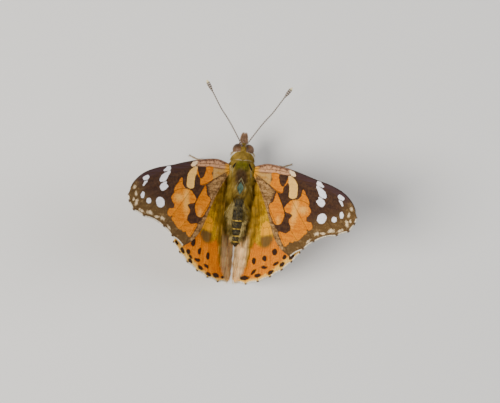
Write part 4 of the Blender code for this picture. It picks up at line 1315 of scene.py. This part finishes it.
for hand, side, seed in (("left", 1, 21), ("right", -1, 22)):
    hind_hair(hand, side, seed)

# The antennae: thin ringed stalks of some thirty joints, scaled grey-brown with a
# pale ring at each joint, that thicken into dark clubs with cream tips.


def stack_up(parts):
    """Several pieces' points and faces as one."""
    points, faces, first = [], [], 0
    for part_points, part_faces in parts:
        points.append(part_points)
        faces.append(part_faces + first)
        first += len(part_points)
    return np.vstack(points), np.concatenate(faces)


def run_of(points, path):
    """Share of the path's length at the path's place nearest to each point."""
    near = np.linalg.norm(points[:, None] - path[None], axis=2).argmin(1)
    return near / (len(path) - 1.0)


def banded_look(name, dark, pale, bands, pale_from, tip_colour, roughness=0.55):
    """Fine rings along a stalk by its run attribute, and a pale far end."""
    look, tree, shader = new_look(name)
    run = field(tree, "run")
    wave = sum_up(tree, "SINE", sum_up(tree, "MULTIPLY", run, bands * 2 * math.pi))
    colour = over(tree, dark, pale, ramp(tree, wave, 0.35, 0.95, 0.0, 0.75))
    colour = over(tree, colour, dark, ramp(tree, run, 0.05, 0.08, 1.0, 0.0))
    colour = over(tree, colour, tip_colour, ramp(tree, run, pale_from, pale_from + 0.03))
    grain = noise(tree, add(tree, "ShaderNodeTexCoord").outputs["Object"], 6000.0)
    value = sum_up(tree, "MULTIPLY_ADD", grain, 0.7, 0.65)
    tree.links.new(lightened(tree, colour, value), shader.inputs["Base Color"])
    bumped(tree, shader, grain, 0.4, 0.00003)
    shader.inputs["Roughness"].default_value = roughness
    return look


ANTENNA_JOINTS = 34.0
CLUB_FROM = 0.82
TIP_FROM = 0.955
ANTENNA_RADIUS = 0.135
ANTENNA_LOOK = banded_look("antenna_scales", tint(88, 72, 60), tint(214, 204, 190),
                           ANTENNA_JOINTS, TIP_FROM, tint(244, 226, 170))
ANTENNA_PATH = [(0.45, -4.95, 1.15), (0.5, -5.15, 1.75), (1.4, -6.7, 1.95), (3.56, -10.0, 2.0),
                (5.4, -12.4, 2.15), (7.1, -15.1, 2.4), (8.9, -17.9, 2.8)]
for hand, side in SIDES:
    path = curve_points(ANTENNA_PATH, 420)
    run = np.linspace(0.0, 1.0, len(path))
    knot = 0.012 * np.cos(run * ANTENNA_JOINTS * 2 * np.pi)
    club = 0.25 * smooth((run - CLUB_FROM) / 0.1) - 0.24 * smooth((run - TIP_FROM) / 0.045)
    base = 0.06 * np.exp(-((run - 0.03) / 0.02) ** 2)
    points, faces = rod(path, ANTENNA_RADIUS + knot + club + base, 16)
    made = made_mesh(f"antenna_{hand}_ringed", place(points * (side, 1.0, 1.0)), faces,
                     [ANTENNA_LOOK], None, {"run": run_of(points, path)})
    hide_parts(f"antenna_{hand}")

# The mouthparts: two feelers clothed in bristles that meet in front of the face, and
# the tongue, a hollow tube wound up flat like a watch spring beneath them.
PALP_PATH = [(0.52, -4.4, -1.2), (0.48, -5.6, -1.3), (0.38, -6.6, -0.5), (0.28, -7.4, 0.45)]


def palp_paint(tree, mark, cloud, fine):
    """Brown and buff."""
    return clouded(tree, (150, 112, 84), (206, 172, 140), cloud, -0.6, 0.6)


PALP_LOOK = haired_look("palp_bristles", palp_paint)


def limb_coat(name, path, radii, count, seed, length, lift, width, look, side, to_body=place):
    """Bristles on a limb, rooted round its path and leaning toward its end."""
    rng = np.random.default_rng(seed)
    at = rng.uniform(0.0, len(path) - 1.01, count)
    low = at.astype(int)
    share = (at - low)[:, None]
    along = unit(np.gradient(path, axis=0)[low])
    middle = path[low] * (1 - share) + path[low + 1] * share
    out = unit(np.cross(along, rng.normal(0.0, 1.0, (count, 3))))
    rise = np.radians(rng.normal(lift, 7.0, count))
    ahead = along * np.cos(rise)[:, None] + out * np.sin(rise)[:, None]
    long = length * rng.uniform(0.6, 1.2, count)
    roots = middle + out * (radii[low] * 0.92)[:, None]
    unwrap = unwrapped(at / len(path), rng.uniform(0.0, 1.0, count))
    lock = np.stack([np.floor(at), np.floor(np.arctan2(out[:, 2], out[:, 0]) * 1.5)], 1)
    made = make_coat(name, roots, ahead, long, np.full(count, width), along * (long * 0.2)[:, None],
                     unwrap, look, {"lie": middle}, rng, lock, 2, side, to_body)


for hand, side, seed in (("left", 1, 31), ("right", -1, 32)):
    path = curve_points(PALP_PATH, 60)
    radii = np.interp(np.linspace(0, 1, len(path)), [0, 0.3, 0.7, 1], [0.22, 0.27, 0.24, 0.06])
    points, faces = rod(path, radii, 18)
    made = made_mesh(f"palp_{hand}_skin", place(points * (side, 1.0, 1.0)), faces, [PALP_LOOK],
                     None, bare(points))
    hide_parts(f"palp_{hand}")
    limb_coat(f"palp_{hand}_coat", path, radii, 2400, seed, 0.5, 30, 0.028, PALP_LOOK, side)

TONGUE_LOOK = banded_look("tongue_horn", tint(58, 32, 20), tint(120, 74, 42), 90.0, 2.0,
                          tint(58, 32, 20), 0.35)
COIL_TURNS = 1.7
COIL_RADII = (0.85, 0.22)
COIL_MIDDLE = (-4.75, -2.95)
TONGUE_RADII = (0.15, 0.08)
winding = np.linspace(0.0, COIL_TURNS * 2 * math.pi, 300)
reach = np.linspace(*COIL_RADII, len(winding))
coil = np.stack([0 * winding, COIL_MIDDLE[0] - reach * np.sin(winding),
                 COIL_MIDDLE[1] + reach * np.cos(winding)], 1)
tongue = np.vstack([curve_points([(0.0, -4.3, -1.1), (0.0, -4.4, -1.7), (0.0, -4.55, -2.0)], 20),
                    coil])
points, faces = rod(tongue, np.linspace(*TONGUE_RADII, len(tongue)), 14)
made = made_mesh("tongue_coil", place(points), faces, [TONGUE_LOOK], None,
                 {"run": run_of(points, tongue)})
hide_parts("proboscis")

# The legs. The forelegs are short brushes held against the breast; the middle and
# hind legs stand, each of a stout femur, a spined tibia and a five-jointed foot with
# two claws, clothed in flat pale and brown scales.


def leg_paint(tree, mark, cloud, fine):
    """Buff with brown flecks."""
    colour = clouded(tree, (168, 140, 104), (206, 184, 150), cloud, -0.6, 0.6)
    return over(tree, colour, tint(104, 78, 52), ramp(tree, fine, 0.3, 0.8))


def horn_paint(tree, mark, cloud, fine):
    """Dark brown horn."""
    return clouded(tree, (58, 38, 26), (96, 66, 42), fine, -0.3, 0.5)


LEG_LOOK = haired_look("leg_scales", leg_paint)
HORN_LOOK = haired_look("claw_horn", horn_paint)
BODY_HEIGHT = 8.6
BREAST_ANGLE = math.radians(62)
SOCKET_CLEARANCE = 0.64
SOLE_HEIGHT = 0.187
WALKING_LEGS = {
    "midleg": ((0.7, BREAST_ANGLE), (5.5, -0.9, 7.4), (8.1, -1.9, 3.3), (10.9, -3.0), 1.7),
    "hindleg": ((3.3, math.radians(68)), (4.9, 7.3, 5.6), (6.7, 11.4, 2.6), (7.9, 15.3), 1.9),
}
FORELEG_Y = -0.9
FORELEG_RADII = (0.2, 0.26, 0.24, 0.2, 0.08)
FEMUR_RADII = (0.3, 0.36, 0.4, 0.36, 0.3, 0.2)
TIBIA_RADII = (0.2, 0.28, 0.3, 0.28, 0.26, 0.22)
TARSUS_RADIUS = 0.17
TARSUS_JOINTS = 5
SPINES = 34
CLAW_RADII = (0.06, 0.012)


def thorax_socket(y, angle):
    """A point just outside the thorax at an angle below its side."""
    wide, high = thorax_size(np.array(y))
    surface = np.array([wide * math.cos(angle), y, -high * math.sin(angle)])
    normal = np.array([math.cos(angle) / wide, 0.0, -math.sin(angle) / high])
    return surface + unit(normal) * SOCKET_CLEARANCE


def stand(points):
    """Millimetres above the floor, round the middle of the stance, as world metres;
    a bristle or claw that would reach into the floor lies flat on it."""
    placed = np.asarray(points) * MM + ZERO - (0.0, 0.0, BODY_HEIGHT * MM)
    placed[..., 2] = np.maximum(placed[..., 2], 0.0)
    return placed


def unstand(points):
    """A body point in the millimetres of the stance."""
    return (place(points) - ZERO) / MM + (0.0, 0.0, BODY_HEIGHT)


def leg_part(name, path, radii, side, node, put_in, seed, bristles, length=0.2):
    """One length of leg, radii spread evenly along it, with its coat of bristles."""
    radii = np.interp(np.linspace(0.0, 1.0, len(path)), np.linspace(0.0, 1.0, len(radii)), radii)
    points, faces = rod(path, radii, 16)
    made = made_mesh(name, put_in(points * (side, 1.0, 1.0)), faces, [LEG_LOOK], None,
                     {**bare(points), "lie": points * 3.0})
    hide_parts(node)
    limb_coat(f"{name}_coat", path, radii, bristles, seed, length, 16, 0.03, LEG_LOOK, side,
              put_in)


def make_claws(name, sole, ahead, side):
    """Two hooks that leave the foot side by side, rise a little and turn down."""
    apart = np.array([-ahead[1], ahead[0], 0.0]) * 0.16
    claws = [rod(curve_points([sole - ahead * 0.1, sole + ahead * 0.12 + aside + (0, 0, 0.06),
                               sole + ahead * 0.3 + aside * 1.3 - (0, 0, 0.13)], 12),
                 np.linspace(*CLAW_RADII, 12), 8) for aside in (apart, -apart)]
    points, faces = stack_up(claws)
    made = made_mesh(name, stand(points * (side, 1.0, 1.0)), faces, [HORN_LOOK], None,
                     bare(points))


for hand, side in SIDES:
    socket = thorax_socket(FORELEG_Y, BREAST_ANGLE)
    path = curve_points([socket - (0.3, 0.0, -0.5), socket, socket + (0.25, -0.5, -0.75),
                         (1.45, -3.2, -2.8), (1.45, -4.5, -2.45)], 60)
    leg_part(f"foreleg_{hand}_brush", path, FORELEG_RADII, side, f"foreleg_{hand}", place, 41,
             1500, 0.45)
    for number, (kind, (hip, knee, ankle, toe, foot)) in enumerate(WALKING_LEGS.items()):
        root = unstand(thorax_socket(*hip) - (0.1, 0.0, -0.45))
        knee, ankle = np.array(knee), np.array(ankle)
        run = np.linspace(0.0, 1.0, 50)[:, None]
        femur = root + (knee - root) * run + np.array([0.0, 0.0, 0.25]) * np.sin(np.pi * run)
        leg_part(f"{kind}_femur_{hand}_scaled", femur, FEMUR_RADII, side,
                 f"{kind}_femur_{hand}", stand, 43 + number, 900)
        tibia = knee + (ankle - knee) * run
        leg_part(f"{kind}_tibia_{hand}_scaled", tibia, TIBIA_RADII, side,
                 f"{kind}_tibia_{hand}", stand, 45 + number, 800)
        limb_coat(f"{kind}_tibia_{hand}_spines", tibia, np.full(len(run), 0.24), SPINES,
                  60 + number, 0.5, 34, 0.045, HORN_LOOK, side, stand)
        sole = np.array([*toe, SOLE_HEIGHT])
        ahead = unit((sole - ankle) * (1.0, 1.0, 0.0))
        heel = sole - ahead * foot
        path = curve_points([ankle, ankle * 0.4 + heel * 0.6, heel, sole], 90)
        joint = np.linspace(0.0, TARSUS_JOINTS, len(path))
        radii = TARSUS_RADIUS + 0.02 * np.cos(joint * 2 * np.pi) - 0.03 * joint / TARSUS_JOINTS
        leg_part(f"{kind}_tarsus_{hand}_scaled", path, radii, side, f"{kind}_tarsus_{hand}",
                 stand, 47 + number, 500, 0.1)
        make_claws(f"{kind}_claws_{hand}", sole, ahead, side)
